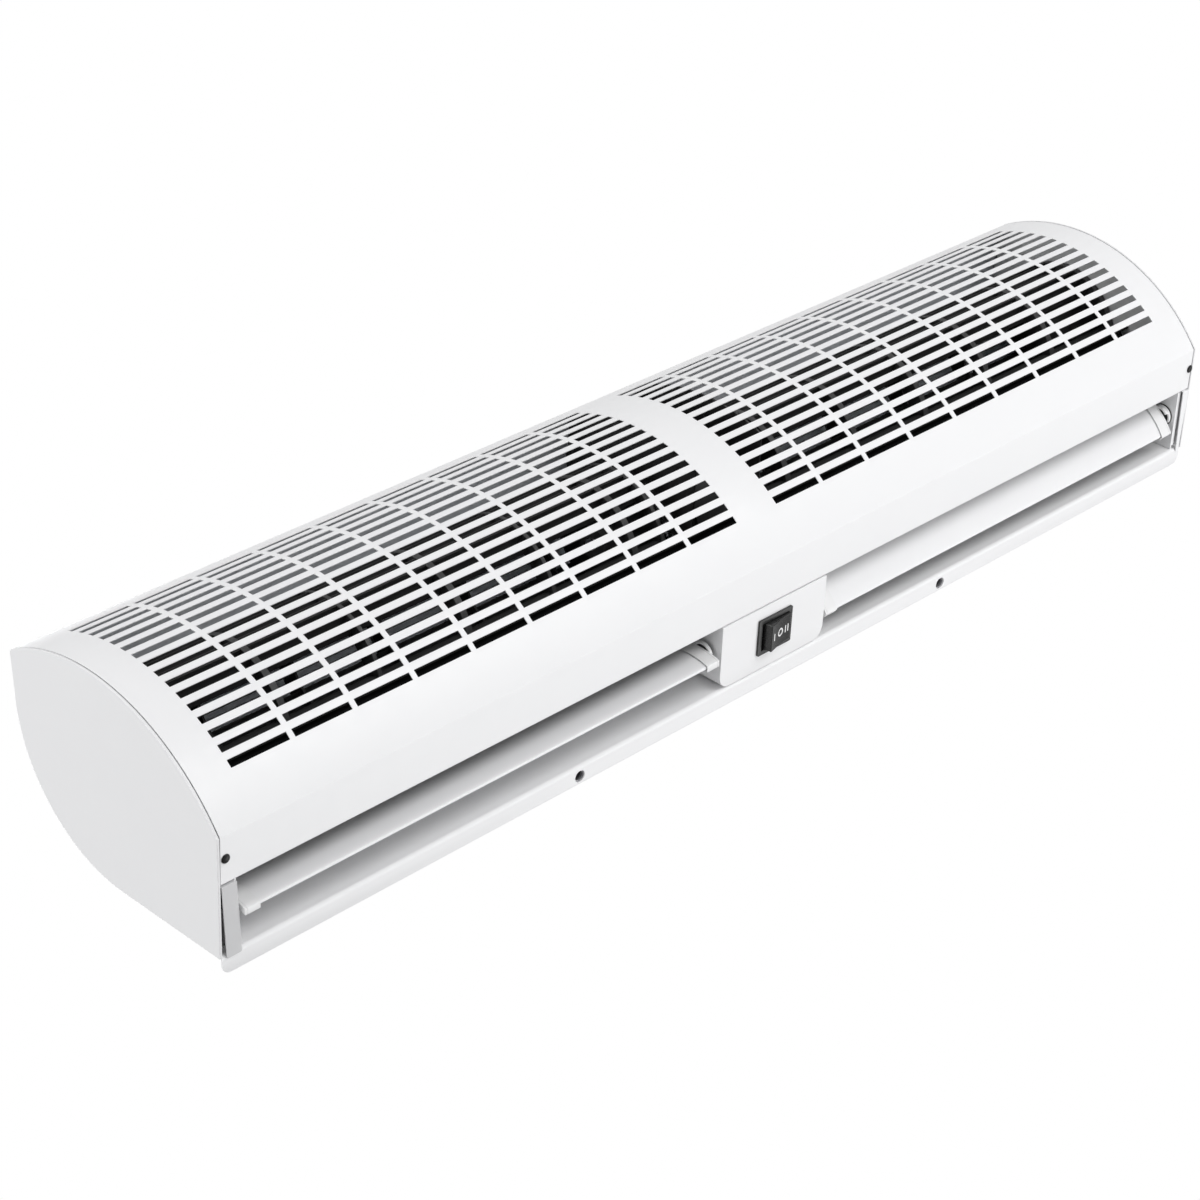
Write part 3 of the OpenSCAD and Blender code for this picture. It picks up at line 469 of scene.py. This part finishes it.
def front_cover():
    """One sheet: the strip on the top, the round front with both grilles, the band and its lip."""
    bm = bmesh.new()
    start_y = LAP_Y - GAP
    outline = [(start_y, top_line(start_y))] + front_curve() + [(BAND_Y, 0), (BAND_Y, LIP)]
    last = len(outline) - 1
    outline = rounded(outline, {1: TOP_BEND, last - 2: FOLD_BEND, last - 1: LIP_BEND}, 5)
    cuts = sorted([x + s * SLOT_X for x in COLUMN_X for s in (-1, 1)]
                  + [LEFT_FRAME + LIP_SHORT, RIGHT_FRAME - LIP_SHORT, 0.0, COVER_END])
    gone = []
    for f in sweep(bm, chain(bm, outline, -COVER_END), cuts):
        c = f.calc_center_median()
        a = math.degrees(math.atan2(c.z - FRONT_Z, c.y - FRONT_Y)) % 360
        # a slot's faces lie within a column and near a whole row; the rest are bars
        row = (a - (180 - FIRST_ROW)) / ROW_STEP
        in_column = min(abs(c.x - x) for x in COLUMN_X) < SLOT_X
        in_row = -0.3 < row < ROWS - 0.7 and abs(row - round(row)) < 0.2
        on_band = c.z < 2
        on_lip = 1.4 < c.z < 20 and c.y > BAND_Y - 2
        beside_outlet = not LEFT_FRAME < c.x < RIGHT_FRAME
        if on_lip and beside_outlet or in_column and in_row and not on_lip and not on_band:
            gone.append(f)
    bmesh.ops.delete(bm, geom=gone, context="FACES")
    bmesh.ops.recalc_face_normals(bm, faces=bm.faces)
    bmesh.ops.solidify(bm, geom=bm.faces[:], thickness=COVER_SHEET)

    def outside(e):
        return all(abs(math.hypot(v.co.y - FRONT_Y, v.co.z - FRONT_Z) - FRONT_R) < 0.05
                   for v in e.verts)

    def lip_or_top(e):
        return not outside(e) and all(
            v.co.y > BAND_Y - 1.5 or v.co.y > -125 and v.co.z > 100 for v in e.verts)

    soften(bm, CUT_EASE, 2, 50, outside)
    soften(bm, EDGE_EASE, 2, 60, lip_or_top)
    paint_inner_shade(bm, FRONT_Y, FRONT_Z, 12)
    put(bm, "front_cover_sheet", "housing", [white, inner_shade_grey], ["front_cover"])


front_cover()


# ---------------------------------------- rear casing with its wall flange
FOOT_R = 2.5  # the back's bend into the flange
LAP_WIDTH, LAP_RAMP = 19.0, 2.6  # the casing's top edge, which dips below the cover
FLANGE_END_R, FLANGE_REAR_Y, FLANGE_EASE = 6.0, -0.6, 0.25
THIRD = 150  # the casing is swept in about three equal lengths


def rear_casing():
    """The top's rear half, the rear curve and the back in one sheet, and the flange below them."""
    bm = bmesh.new()
    inner_y = BACK_Y - SHEET
    lap, dip = LAP_Y - LAP_WIDTH, 2 * SHEET + GAP
    outline = [(lap, top_line(lap) - dip), (LAP_Y - 0.5, top_line(LAP_Y - 0.5) - dip),
               (LAP_Y + LAP_RAMP, top_line(LAP_Y + LAP_RAMP) - SHEET)]
    outline += arc(REAR_Y, REAR_Z, REAR_R - SHEET, REAR_TOP, 0, 42)
    outline += arc(inner_y + FOOT_R, FOOT_R, FOOT_R, 180, 270, 6)
    faces = sweep(bm, chain(bm, outline, -COVER_HALF), [-THIRD, THIRD, COVER_HALF])
    bmesh.ops.recalc_face_normals(bm, faces=bm.faces)
    bmesh.ops.solidify(bm, geom=faces, thickness=-SHEET)
    # the flange, with rounded outer ends and two open holes
    y0, y1, x1, r = inner_y + FOOT_R, FLANGE_REAR_Y, COVER_HALF, FLANGE_END_R
    loop = [(-x1, y0), (x1, y0)]
    loop += arc(x1 - r, y1 - r, r, 0, 90, 6) + arc(-x1 + r, y1 - r, r, 90, 180, 6)
    loops = [loop] + [circle(x, FIXING_Y, FIXING_R, 16) for x in (-FIXING_X, FIXING_X)]
    plate(bm, [[(x, y, 0) for x, y in points] for points in loops], (0, 0, SHEET))
    soften(bm, FLANGE_EASE, 2, 50,
           lambda e: all(v.co.z < 1.5 and v.co.y > BACK_Y + 1.6 for v in e.verts))
    paint_inner_shade(bm, REAR_Y, REAR_Z, REAR_Z)
    put(bm, "rear_casing_sheet", "housing", [white, inner_shade_grey], ["rear_casing"],
        merge=0)


rear_casing()


# ---------------------------------------- end caps
CORNER_R, TOP_CORNER_R, CAP_EASE = 0.8, 1.6, 0.45
RIM_IN, RIM_REACH = 1.4, 8.0  # the cap's inner rim starts and ends this far in from its outer face
RIM_LOW = 5.0


def cap_outline():
    """The unit's whole outline, seen from the end."""
    points = arc(FRONT_Y, FRONT_Z, FRONT_R, FOLD_ANGLE, top_angle(0), 72)
    n_top = len(points) - 1
    points += arc(REAR_Y, REAR_Z, REAR_R, REAR_TOP, 0, 48) + [(BACK_Y, 0)]
    corners = {0: CORNER_R, n_top: TOP_CORNER_R, len(points) - 1: CORNER_R}
    return rounded(points, corners, 4, closed=True)


def inner_outline(depth, low):
    """The casing's outline drawn in, up the front and down the back, open at the bottom."""
    r = FRONT_R - depth
    start = 180 - math.degrees(math.asin((low - FRONT_Z) / r))
    points = arc(FRONT_Y, FRONT_Z, r, start, top_angle(depth), 60)
    points += arc(REAR_Y, REAR_Z, REAR_R - depth, REAR_TOP, 0, 40)
    points += [(BACK_Y - depth, low)]
    return points


def end_cap(side):
    """A flat plate with an eased outer edge and a rim that reaches into the casing."""
    bm = bmesh.new()
    plate(bm, [in_x(cap_outline(), side * HALF)], (-side * CAP_SHEET, 0, 0))
    soften(bm, CAP_EASE, 3, 40,
           lambda e: all(abs(v.co.x - side * HALF) < 0.01 for v in e.verts))
    rim = chain(bm, inner_outline(SHEET + GAP, RIM_LOW), side * (HALF - RIM_IN))
    faces = sweep(bm, rim, [side * (HALF - RIM_REACH)])
    bmesh.ops.recalc_face_normals(bm, faces=faces)
    # the rim stops below the top, where the casing's lap lies
    centres = {f: f.calc_center_median() for f in faces}
    gone = [f for f in faces if centres[f].z > 165 and centres[f].y < LAP_Y + 6]
    bmesh.ops.delete(bm, geom=gone, context="FACES")
    faces = [f for f in faces if f.is_valid]
    bmesh.ops.solidify(bm, geom=faces, thickness=SHEET)
    name = "left" if side < 0 else "right"
    put(bm, "end_cap_" + name + "_plate", "housing", shaded_cap_white, ["end_cap_" + name])


end_cap(-1)
end_cap(1)


# ---------------------------------------- end posts beside the outlet
POST_FACE_Z, POST_SHEET, POST_CORNER_R = -0.9, 0.8, 3.0
POST_END_Y = BACK_Y + 3.2
TAB_START, TAB_SIDE, TAB_LAP = 4.5, 1.0, 0.9  # behind the fold, past the face, over its edge
POST_WALL, POST_EASE = 3.2, 0.2


def end_bracket(side, look, top, low, y1):
    """A post whose hidden tab lies behind the band; its face steps down to cover the corner.

    The face's front and rear edges run between the two X values of top and of low."""
    bm = bmesh.new()
    wall = side * (HALF - CAP_SHEET - GAP / 2)
    y0, z0, face_y = FOLD_Y + TAB_START, SHEET + GAP, BAND_Y + GAP
    near, tab_y = top[0] + side * TAB_SIDE, face_y + TAB_LAP
    plate(bm, [[(wall, y0, z0), (near, y0, z0), (near, tab_y, z0), (wall, tab_y, z0)]],
          (0, 0, SHEET))
    loop = [(top[1], face_y), (top[0], face_y), (low[0], y1), (low[1], y1)]
    loop = rounded(loop, {2: POST_CORNER_R, 3: POST_CORNER_R}, 5, closed=True)
    plate(bm, [[(x, y, POST_FACE_Z) for x, y in loop]], (0, 0, POST_SHEET))
    soften(bm, POST_EASE, 2, 50)
    # the step between tab and face, and the wall against the end cap
    ends = sorted((near, top[1]))
    block(bm, (ends[0], face_y + 0.1, POST_FACE_Z + 0.4), (ends[1], tab_y, z0 + 0.2))
    inner = wall - side * SHEET
    block(bm, (min(wall, inner), y0, z0 + 0.2),
          (max(wall, inner), OUTLET_REAR_Y - 6, z0 + POST_WALL))
    name = "left" if side < 0 else "right"
    put(bm, "end_post_" + name, "housing", look, ["end_bracket_" + name], merge=0)


# the left post takes the darker copy of the white coat, painted shade; the right post takes the
# plain white
end_bracket(-1, shaded_post_white, (LEFT_FRAME - 1.2, -448.0), (LEFT_FRAME + 3.6, -447.6), POST_END_Y)
end_bracket(1, white, (RIGHT_FRAME + 3.0, 448.0), (RIGHT_FRAME + 2.4, 448.0), POST_END_Y)


# ---------------------------------------- louvers, clips and pivots
LEFT_ANGLE, RIGHT_ANGLE = -3.0, 38.0  # degrees from upright, as photographed
BOW, BOW_SHIFT, BOW_Z = 52.0, 3.0, 4.0  # the blade's radius, and its crown's place from the pivot
BLADE_HALF, BLADE_EASE = 1.0, 0.7  # half of its thickness; the rounding of its edges
BELOW, ABOVE = 14.3, 20.0  # from the pivot to the blade's lower and upper edge
NEAR, FAR = 1.9, 5.4  # from a clip to the wall, at the closer and the wider ends
CLIP_LENGTH, CLIP_BELOW, CLIP_ABOVE, CLIP_WALL = 11.0, 1.0, 1.0, 1.0
MOUTH_GAP, END_WALL, CLIP_EASE = 0.5, 1.6, 0.3
RING_WIDTH, RING_OUTER, RING_INNER, RING_SLIT = 2.3, 8.0, 6.55, 1.9
STAND_OFF, NECK = 2.2, (110, 200)  # the ring's distance from its clip; the neck's arc in degrees
FLANGE, HUB_R, STEM_R, HUB_SHORT = 0.6, 6.5, 3.0, 1.4
# each blade end: where the clip ends, its side, its distance to the wall and the ring's stand-off
LEFT_ENDS = [(LEFT_FRAME + NEAR, -1, NEAR, 0), (-HOUSE - FAR, 1, FAR, 0)]
RIGHT_ENDS = [(HOUSE + NEAR, -1, NEAR, 0), (RIGHT_FRAME - FAR, 1, FAR, STAND_OFF)]
BUSH_RIMS = (8.3, 5.0, 6.8, 8.3)  # radius of each bush's flange, in the order of the ends


def blade_outline(grow, below, above, count=14):
    """The bowed section about its pivot, as a closed loop of (y, z)."""
    made = []
    for r, sign in ((BOW + BLADE_HALF + grow, 1), (BOW - BLADE_HALF - grow, -1)):
        a0 = math.degrees(math.asin((-below - BOW_Z) / r))
        a1 = math.degrees(math.asin((above - BOW_Z) / r))
        turns = [math.radians(a0 + (a1 - a0) * i / count) for i in range(count + 1)]
        line = [(BOW - BOW_SHIFT - r * math.cos(a), BOW_Z + r * math.sin(a)) for a in turns]
        made += line if sign > 0 else line[::-1]
    return made


def pivoted(bm, angle):
    """Turns a blade's pieces by its angle and sets them on its pivot."""
    place = (Matrix.Translation((0, PIVOT_Y, PIVOT_Z))
             @ Matrix.Rotation(math.radians(angle), 4, "X"))
    bmesh.ops.transform(bm, matrix=place, verts=bm.verts)


def louver(name, ends, angle):
    """One blade, between the end walls of its two clips."""
    bm = bmesh.new()
    x0, x1 = ends[0][0] + END_WALL + 0.1, ends[1][0] - END_WALL - 0.1
    plate(bm, [in_x(blade_outline(0, BELOW, ABOVE), x0)], (x1 - x0, 0, 0))
    soften(bm, BLADE_EASE, 3, 50)
    pivoted(bm, angle)
    put(bm, name + "_louver_blade", name + "_louver", blade_white,
        ["louver_" + name])


def slit_ring():
    """The clip's ring in (y, z), open at the bottom."""
    slit, slit_in = (math.degrees(math.asin(RING_SLIT / r)) for r in (RING_OUTER, RING_INNER))
    return (arc(0, 0, RING_OUTER, -90 + slit, 270 - slit, 36)
            + arc(0, 0, RING_INNER, 270 - slit_in, -90 + slit_in, 30))


def clips(name, ends, angle):
    """The two clips of a blade, each with a mouth round the blade, an end wall and an open ring."""
    bm = bmesh.new()
    for end, side, stand, off in ends:
        outer = blade_outline(CLIP_WALL, BELOW + CLIP_BELOW, ABOVE + CLIP_ABOVE)
        inner = blade_outline(MOUTH_GAP, BELOW + MOUTH_GAP, ABOVE + MOUTH_GAP)
        back, wall = end - side * CLIP_LENGTH, end - side * END_WALL
        plate(bm, [in_x(outer, back), in_x(inner, back)], (wall - back, 0, 0))
        plate(bm, [in_x(outer, wall)], (end - wall, 0, 0))
        # the ring snaps over the bush; where it stands off, a neck at its upper rear carries it
        root = end + side * off
        tip = end + side * min(off + RING_WIDTH, stand - FLANGE - GAP)
        plate(bm, [in_x(slit_ring(), root)], (tip - root, 0, 0))
        if off:
            neck = arc(0, 0, RING_OUTER, *NECK, 12) + arc(0, 0, RING_INNER, *NECK[::-1], 12)
            plate(bm, [in_x(neck, end - side * 0.4)], (side * (off + 0.8), 0, 0))
    soften(bm, CLIP_EASE, 2, 50)
    pivoted(bm, angle)
    put(bm, name + "_louver_clips_moulded", name + "_louver", clip_white,
        ["louver_" + name + "_clips"], merge=0)


for name, ends, angle in (("left", LEFT_ENDS, LEFT_ANGLE), ("right", RIGHT_ENDS, RIGHT_ANGLE)):
    louver(name, ends, angle)
    clips(name, ends, angle)


def pivot_bushes():
    """Each bush: a plug in the wall, a flange on it and a hub that fills the ring."""
    bm = bmesh.new()
    for (end, clip_side, stand, off), rim in zip(LEFT_ENDS + RIGHT_ENDS, BUSH_RIMS):
        x, side = end + clip_side * stand, -clip_side
        tip = stand - off - (HUB_SHORT if off else GAP)
        low = tip - RING_WIDTH
        plug = [(0, -2.4), (3.8, -2.4), (4.1, -2.1), (4.1, 0)]
        flange = [(rim - 0.2, 0), (rim, 0.15), (rim, 0.45), (rim - 0.15, FLANGE)]
        stem = [(STEM_R, FLANGE), (STEM_R, low)] if low > FLANGE + 1 else []
        hub = [(HUB_R, low if stem else FLANGE), (HUB_R, tip - 0.3), (HUB_R - 0.3, tip),
               (2.2, tip), (2.0, tip - 0.8), (0, tip - 0.8)]
        place = (Matrix.Translation((x, PIVOT_Y, PIVOT_Z))
                 @ Matrix.Rotation(math.radians(90 * side), 4, "Y"))
        turned(bm, plug + flange + stem + hub, place, closed=False)
    put(bm, "pivot_bushes", "housing", plastic_black, ["louver_pivots"])


pivot_bushes()


# ---------------------------------------- switch housing, switch and rocker
HOUSE_WALL, HOUSE_DEEP, HOUSE_R, HOUSE_EASE = 1.6, 28.4, 9.0, 1.55
CUT_HALF = (14.2, 11.2)
# the switch's rectangles: half lengths and corner radius
BEZEL, WINDOW, CASE = (15.6, 12.8, 0.9), (12.7, 9.85, 0.5), (14, 11, 0.6)
BEZEL_Z, BEZEL_TALL, BEZEL_EASE = -1.4, 1.35, 0.4
# the case is open from CASE_Z to CASE_MIDDLE and closed for CASE_TALL above that
CASE_Z, CASE_MIDDLE, CASE_TALL = -0.06, 10.0, 9.0


def housing_loop(inset, z):
    """The housing's plan, with round rear corners."""
    r = HOUSE_R - inset
    x, y0, y1 = HOUSE - inset, HOUSE_FRONT_Y + inset, HOUSE_REAR_Y - inset
    plan = [(-x, y0), (x, y0)]
    plan += arc(x - r, y1 - r, r, 0, 90, 10) + arc(-x + r, y1 - r, r, 90, 180, 10)
    return [(px, py, z) for px, py in plan]


def switch_housing():
    """The box between the outlets: a floor with the switch's cut-out and a wall round it."""
    bm = bmesh.new()
    x, y = CUT_HALF
    cut = [(sx * x, SWITCH_Y + sy * y, 0) for sx, sy in ((-1, -1), (1, -1), (1, 1), (-1, 1))]
    plate(bm, [housing_loop(0, 0), cut], (0, 0, HOUSE_WALL))
    plate(bm, [housing_loop(0, HOUSE_WALL), housing_loop(HOUSE_WALL, HOUSE_WALL)],
          (0, 0, HOUSE_DEEP))
    bmesh.ops.remove_doubles(bm, verts=bm.verts, dist=0.001)
    soften(bm, HOUSE_EASE, 4, 50,
           lambda e: all(v.co.z < 0.01 and abs(v.co.x) > CUT_HALF[0] + 5 for v in e.verts))
    put(bm, "switch_housing_box", "housing", white, ["switch_housing"])


def frame_loop(size, z, count=4):
    """A rectangle with round corners about the switch's middle."""
    half_x, half_y, r = size
    loop = []
    for cx, cy, start in ((1, -1, -90), (1, 1, 0), (-1, 1, 90), (-1, -1, 180)):
        for k in range(count + 1):
            t = math.radians(start + 90 * k / count)
            loop.append((cx * (half_x - r) + r * math.cos(t),
                         SWITCH_Y + cy * (half_y - r) + r * math.sin(t), z))
    return loop


def switch_body():
    """The bezel, the open case behind it and the closed block with the contacts."""
    bm = bmesh.new()
    plate(bm, [frame_loop(BEZEL, BEZEL_Z), frame_loop(WINDOW, BEZEL_Z)], (0, 0, BEZEL_TALL))
    soften(bm, BEZEL_EASE, 3, 50, lambda e: all(v.co.z < BEZEL_Z + 0.1 for v in e.verts))
    plate(bm, [frame_loop(CASE, CASE_Z), frame_loop(WINDOW, CASE_Z)],
          (0, 0, CASE_MIDDLE - CASE_Z))
    plate(bm, [frame_loop(CASE, CASE_MIDDLE)], (0, 0, CASE_TALL))
    put(bm, "switch_case", "housing", plastic_black, ["switch_body"], merge=0)


# the rocker's face is two flats that meet in a soft ridge
FACE_RIDGE, FACE_END, FACE_HALF = -7.3, -8.0, 11.0
FACE_LEAN = math.atan((FACE_RIDGE - FACE_END) / FACE_HALF)
ROCKER_HALF, ROCKER_EASE = 9.6, 0.5
ROCKER_X, ROCKER_Z, ROCKER_LEAN = 0.5, 3.0, -10  # the pin's place; degrees, with II pressed
PIN_R, PIN_LENGTH = 1.5, 20.6
STROKE, MARK_TALL, MARK_PROUD, MARK_SUNK = 1.05, 5.2, 0.05, 0.2
BAR_X, RING_X, RING_R = (-7.9, 5.3, 8.0), -0.3, 2.9


def face_z(x):
    """Height of the rocker's face at some distance from its ridge."""
    return FACE_RIDGE - abs(x) * math.tan(FACE_LEAN)


def mark_place(x):
    """A mark's own flat frame on the face, with its Z pointing into the rocker."""
    lean = FACE_LEAN if x < -1 else -FACE_LEAN if x > 1 else 0
    return Matrix.Translation((x, 0, face_z(x))) @ Matrix.Rotation(-lean, 4, "Y")


def rocker():
    """The rocker on its pin, and its marks."""
    place = (Matrix.Translation((ROCKER_X, SWITCH_Y, ROCKER_Z))
             @ Matrix.Rotation(math.radians(ROCKER_LEAN), 4, "Y"))
    bm = bmesh.new()
    section = [(-FACE_HALF, FACE_END), (0, FACE_RIDGE), (FACE_HALF, FACE_END),
               (11.8, -1), (10.6, 3.2), (-10.6, 3.2), (-11.8, -1)]
    plate(bm, [[(x, -ROCKER_HALF, z) for x, z in section]], (0, 2 * ROCKER_HALF, 0))
    soften(bm, ROCKER_EASE, 3, 35)
    pin = bmesh.ops.create_cone(bm, cap_ends=True, segments=24, radius1=PIN_R, radius2=PIN_R,
                                depth=PIN_LENGTH)["verts"]
    on_side = Matrix.Rotation(math.radians(90), 3, "X")
    bmesh.ops.rotate(bm, cent=(0, 0, 0), matrix=on_side, verts=pin)
    bmesh.ops.transform(bm, matrix=place, verts=bm.verts)
    put(bm, "rocker_cap", "rocker", rocker_black, ["rocker"], merge=0)
    # the marks are printed in shallow relief on the face
    bm = bmesh.new()
    for x in BAR_X:
        bar = block(bm, (-STROKE / 2, -MARK_TALL / 2, -MARK_PROUD),
                    (STROKE / 2, MARK_TALL / 2, MARK_SUNK))
        bmesh.ops.transform(bm, matrix=mark_place(x), verts=bar)
    loops = []
    for r in (RING_R, RING_R - STROKE):
        turns = [math.tau * i / 40 for i in range(40)]
        ring = [(RING_X + r * math.cos(a), r * math.sin(a)) for a in turns]
        loops.append([(x, y, face_z(x) - MARK_PROUD) for x, y in ring])
    plate(bm, loops, (0, 0, 0.3))
    bmesh.ops.transform(bm, matrix=place, verts=bm.verts)
    put(bm, "rocker_marks", "rocker", mark_white, (), merge=0)


switch_housing()
switch_body()
rocker()


# ---------------------------------------- screws at the ends of the band
DOME = [(0, -1.3), (0.42, -1.3), (1.0, -1.25), (1.7, -1.1), (2.3, -0.86), (2.72, -0.52),
        (2.9, -0.2), (2.9, -0.05)]
SHANK = [(1.4, -0.05), (1.4, 4.4), (0, 4.5)]
SCREW_SIDES, SCREW_TURN = 40, 30
RECESS_DEEP, RECESS_MIDDLE, RECESS_ARM, RECESS_HALF = 0.75, 0.4, 1.7, 9  # the last in degrees


def in_recess(face):
    """Whether a face of the dome lies within the cross of the recess."""
    c = face.calc_center_median()
    r = math.hypot(c.x, c.y)
    off = math.degrees(math.atan2(c.y, c.x)) % 90
    in_arm = r < RECESS_ARM and min(off, 90 - off) < RECESS_HALF
    return c.z < -1 and (r < RECESS_MIDDLE or in_arm)


def cover_screws():
    """Pan heads with a cross recess, and their shanks through the cover and the post."""
    bm = bmesh.new()
    for x in SCREW_X:
        place = (Matrix.Translation((x, SCREW_Y, 0))
                 @ Matrix.Rotation(math.radians(SCREW_TURN), 4, "Z"))
        verts = turned(bm, DOME + SHANK, Matrix.Identity(4), SCREW_SIDES, closed=False)
        bmesh.ops.remove_doubles(bm, verts=verts, dist=0.0005)
        verts = [v for v in verts if v.is_valid]
        arms = [f for f in {f for v in verts for f in v.link_faces} if in_recess(f)]
        out = bmesh.ops.extrude_face_region(bm, geom=arms)["geom"]
        sunk = [g for g in out if isinstance(g, bmesh.types.BMVert)]
        bmesh.ops.translate(bm, vec=(0, 0, RECESS_DEEP), verts=sunk)
        bmesh.ops.transform(bm, matrix=place, verts=verts + sunk)
    put(bm, "cover_screw_heads", "housing", screw_black, ["cover_screws"], angle=40)


cover_screws()


# ---------------------------------------- the other CAD nodes keep their shape
RIM_HALF = 1.3  # of the width of a disc's rim, in mm
RIM_INNER, RIM_OUTER = FAN_R - 0.7, FAN_R - 0.05
GRID = 2  # the discs' places are rounded to this, in mm
WELD = 0.000002  # metres, as the CAD nodes are


def on_rim(face):
    """Whether a face lies on the outer edge of a fan disc."""
    radii = [math.hypot(v.co.y - FAN_Y * MM, v.co.z - (FAN_Z - DROP) * MM) for v in face.verts]
    return min(radii) > (FAN_R - 0.2) * MM


def disc_rims(node, places, look, body):
    """The turned-over rims of a fan's discs."""
    bm = bmesh.new()
    section = [(RIM_INNER, -RIM_HALF), (RIM_OUTER, -RIM_HALF),
               (RIM_OUTER, RIM_HALF), (RIM_INNER, RIM_HALF)]
    for x in sorted(places):
        place = Matrix.Translation((x, FAN_Y, FAN_Z)) @ Matrix.Rotation(math.pi / 2, 4, "Y")
        turned(bm, section, place, 72)
    put(bm, node + "_rims", body, look)


def smooth_copy(node, look, slot, body="housing", rim_look=None, round_edge=0.0):
    """The node's own solid with its loose triangles joined and its curves smooth.

    A width of round_edge, in mm, eases its edges; a rim_look goes on the rims of its discs."""
    bm = bmesh.new()
    bm.from_mesh(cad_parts[node].data)
    bmesh.ops.remove_doubles(bm, verts=bm.verts, dist=WELD)
    if round_edge:
        bmesh.ops.dissolve_limit(bm, angle_limit=math.radians(0.5), verts=bm.verts, edges=bm.edges)
        soften(bm, round_edge * MM, 2, 50)
    looks = [look]
    if rim_look:
        looks.append(rim_look)
        rims = [f for f in bm.faces if on_rim(f)]
        for f in rims:
            f.material_index = 1
        places = {round(v.co.x * (1000 / GRID)) * GRID for f in rims for v in f.verts}
        disc_rims(node, places, rim_look, body)
    finish(bm, node + "_finished", body, looks, [node], 32)


# each row: node, finish, slot and, where it isn't plain housing, body, rim finish and eased edge
for row in (
        ("side_frame_left", white, "white_paint"),
        ("side_frame_right", white, "white_paint"),
        ("outlet_tongue", duct_black, "dark_paint"),
        ("hanger_rail", zinc, "galvanised", "housing", None, 0.25),
        ("wall_plate", zinc, "galvanised", "housing", None, 0.3),
        ("motor_plate_left", black, "dark_paint"),
        ("motor_plate_right", black, "dark_paint"),
        ("motor_body", black, "dark_paint"),
        ("motor_rubbers", rubber, "black_rubber"),
        ("motor_clamps", steel, "bright_steel"),
        ("clamp_screws", screw_black, "dark_steel"),
        ("rotor_shaft", steel, "bright_steel", "rotor"),
        ("impeller_left", fan_black, "black_aluminium", "rotor", fan_rim),
        ("impeller_right", fan_black, "black_aluminium", "rotor", fan_rim),
        ("end_shafts", steel, "bright_steel", "rotor"),
        ("bearing_bushes", bronze, "bearing_bronze"),
        ("bearing_rubbers", rubber, "black_rubber"),
        ("switch_terminals", bronze, "bearing_bronze"),
        ("service_tray", zinc, "galvanised"),
        ("capacitor", can_white, "white_plastic"),
        ("terminal_block", cream, "cream_plastic"),
        ("cable_grommet", rubber, "black_rubber")):
    smooth_copy(*row)


# ---------------------------------------- floor, world and lamps
FLOOR_SIZE, FLOOR_Z = 9.0, -2.0  # metres
LIT, SEEN = 0.28, 1.0  # the world's strength on the object, and where it is seen or mirrored
# each lamp: name, place, what it faces, its sides in metres and its power
LAMPS = (
    ("key", (-0.6, -2.4, 1.5), (0, -0.08, 0.05), (2.2, 1.4), 19),
    ("low_front", (0.8, -2.1, -1.25), (0.1, -0.06, 0.0), (2.0, 1.0), 30),
    ("under", (1.0, 0.45, -1.5), (0.05, -0.05, 0.0), (2.0, 1.0), 14),
    ("side", (-2.6, -0.6, 0.2), (-0.3, -0.07, 0.04), (1.4, 1.4), 31),
    ("back_top", (0.3, 1.9, 3.0), (0.0, 0.5, 0.0), (3.0, 2.0), 55),
)


def lay_floor():
    """A pale floor, well below the unit."""
    bm = bmesh.new()
    bmesh.ops.create_grid(bm, x_segments=1, y_segments=1, size=FLOOR_SIZE)
    mesh = bpy.data.meshes.new("floor")
    bm.to_mesh(mesh)
    bm.free()
    mesh.materials.append(floor_look)
    floor = bpy.data.objects.new("floor", mesh)
    floor.location = (0, 0, FLOOR_Z)
    bpy.context.scene.collection.objects.link(floor)


def light_world():
    """A dim, slightly blue world on the object that looks white to the camera and in mirrors."""
    world = bpy.data.worlds.new("studio")
    bpy.context.scene.world = world
    world.use_nodes = True
    nodes, links = world.node_tree.nodes, world.node_tree.links
    nodes.clear()
    out = nodes.new("ShaderNodeOutputWorld")
    mix = nodes.new("ShaderNodeMixShader")
    for socket, colour, strength in ((1, (0.97, 0.98, 1.0, 1), LIT), (2, (1, 1, 1, 1), SEEN)):
        part = nodes.new("ShaderNodeBackground")
        part.inputs["Color"].default_value = colour
        part.inputs["Strength"].default_value = strength
        links.new(part.outputs["Background"], mix.inputs[socket])
    path = nodes.new("ShaderNodeLightPath")
    either = path.outputs["Is Camera Ray"]
    for name in ("Is Glossy Ray", "Is Transmission Ray"):
        most = nodes.new("ShaderNodeMath")
        most.operation = "MAXIMUM"
        links.new(either, most.inputs[0])
        links.new(path.outputs[name], most.inputs[1])
        either = most.outputs["Value"]
    links.new(either, mix.inputs["Fac"])
    links.new(mix.outputs["Shader"], out.inputs["Surface"])


def lamp(name, place, target, size, power):
    """A rectangular lamp that faces a point."""
    data = bpy.data.lights.new(name, "AREA")
    data.shape = "RECTANGLE"
    data.size, data.size_y = size
    data.energy = power
    obj = bpy.data.objects.new(name, data)
    obj.location = place
    obj.rotation_mode = "QUATERNION"
    obj.rotation_quaternion = (Vector(target) - Vector(place)).to_track_quat("-Z", "Y")
    bpy.context.scene.collection.objects.link(obj)


lay_floor()
light_world()
for row in LAMPS:
    lamp(*row)

bpy.context.scene.view_settings.view_transform = "Standard"
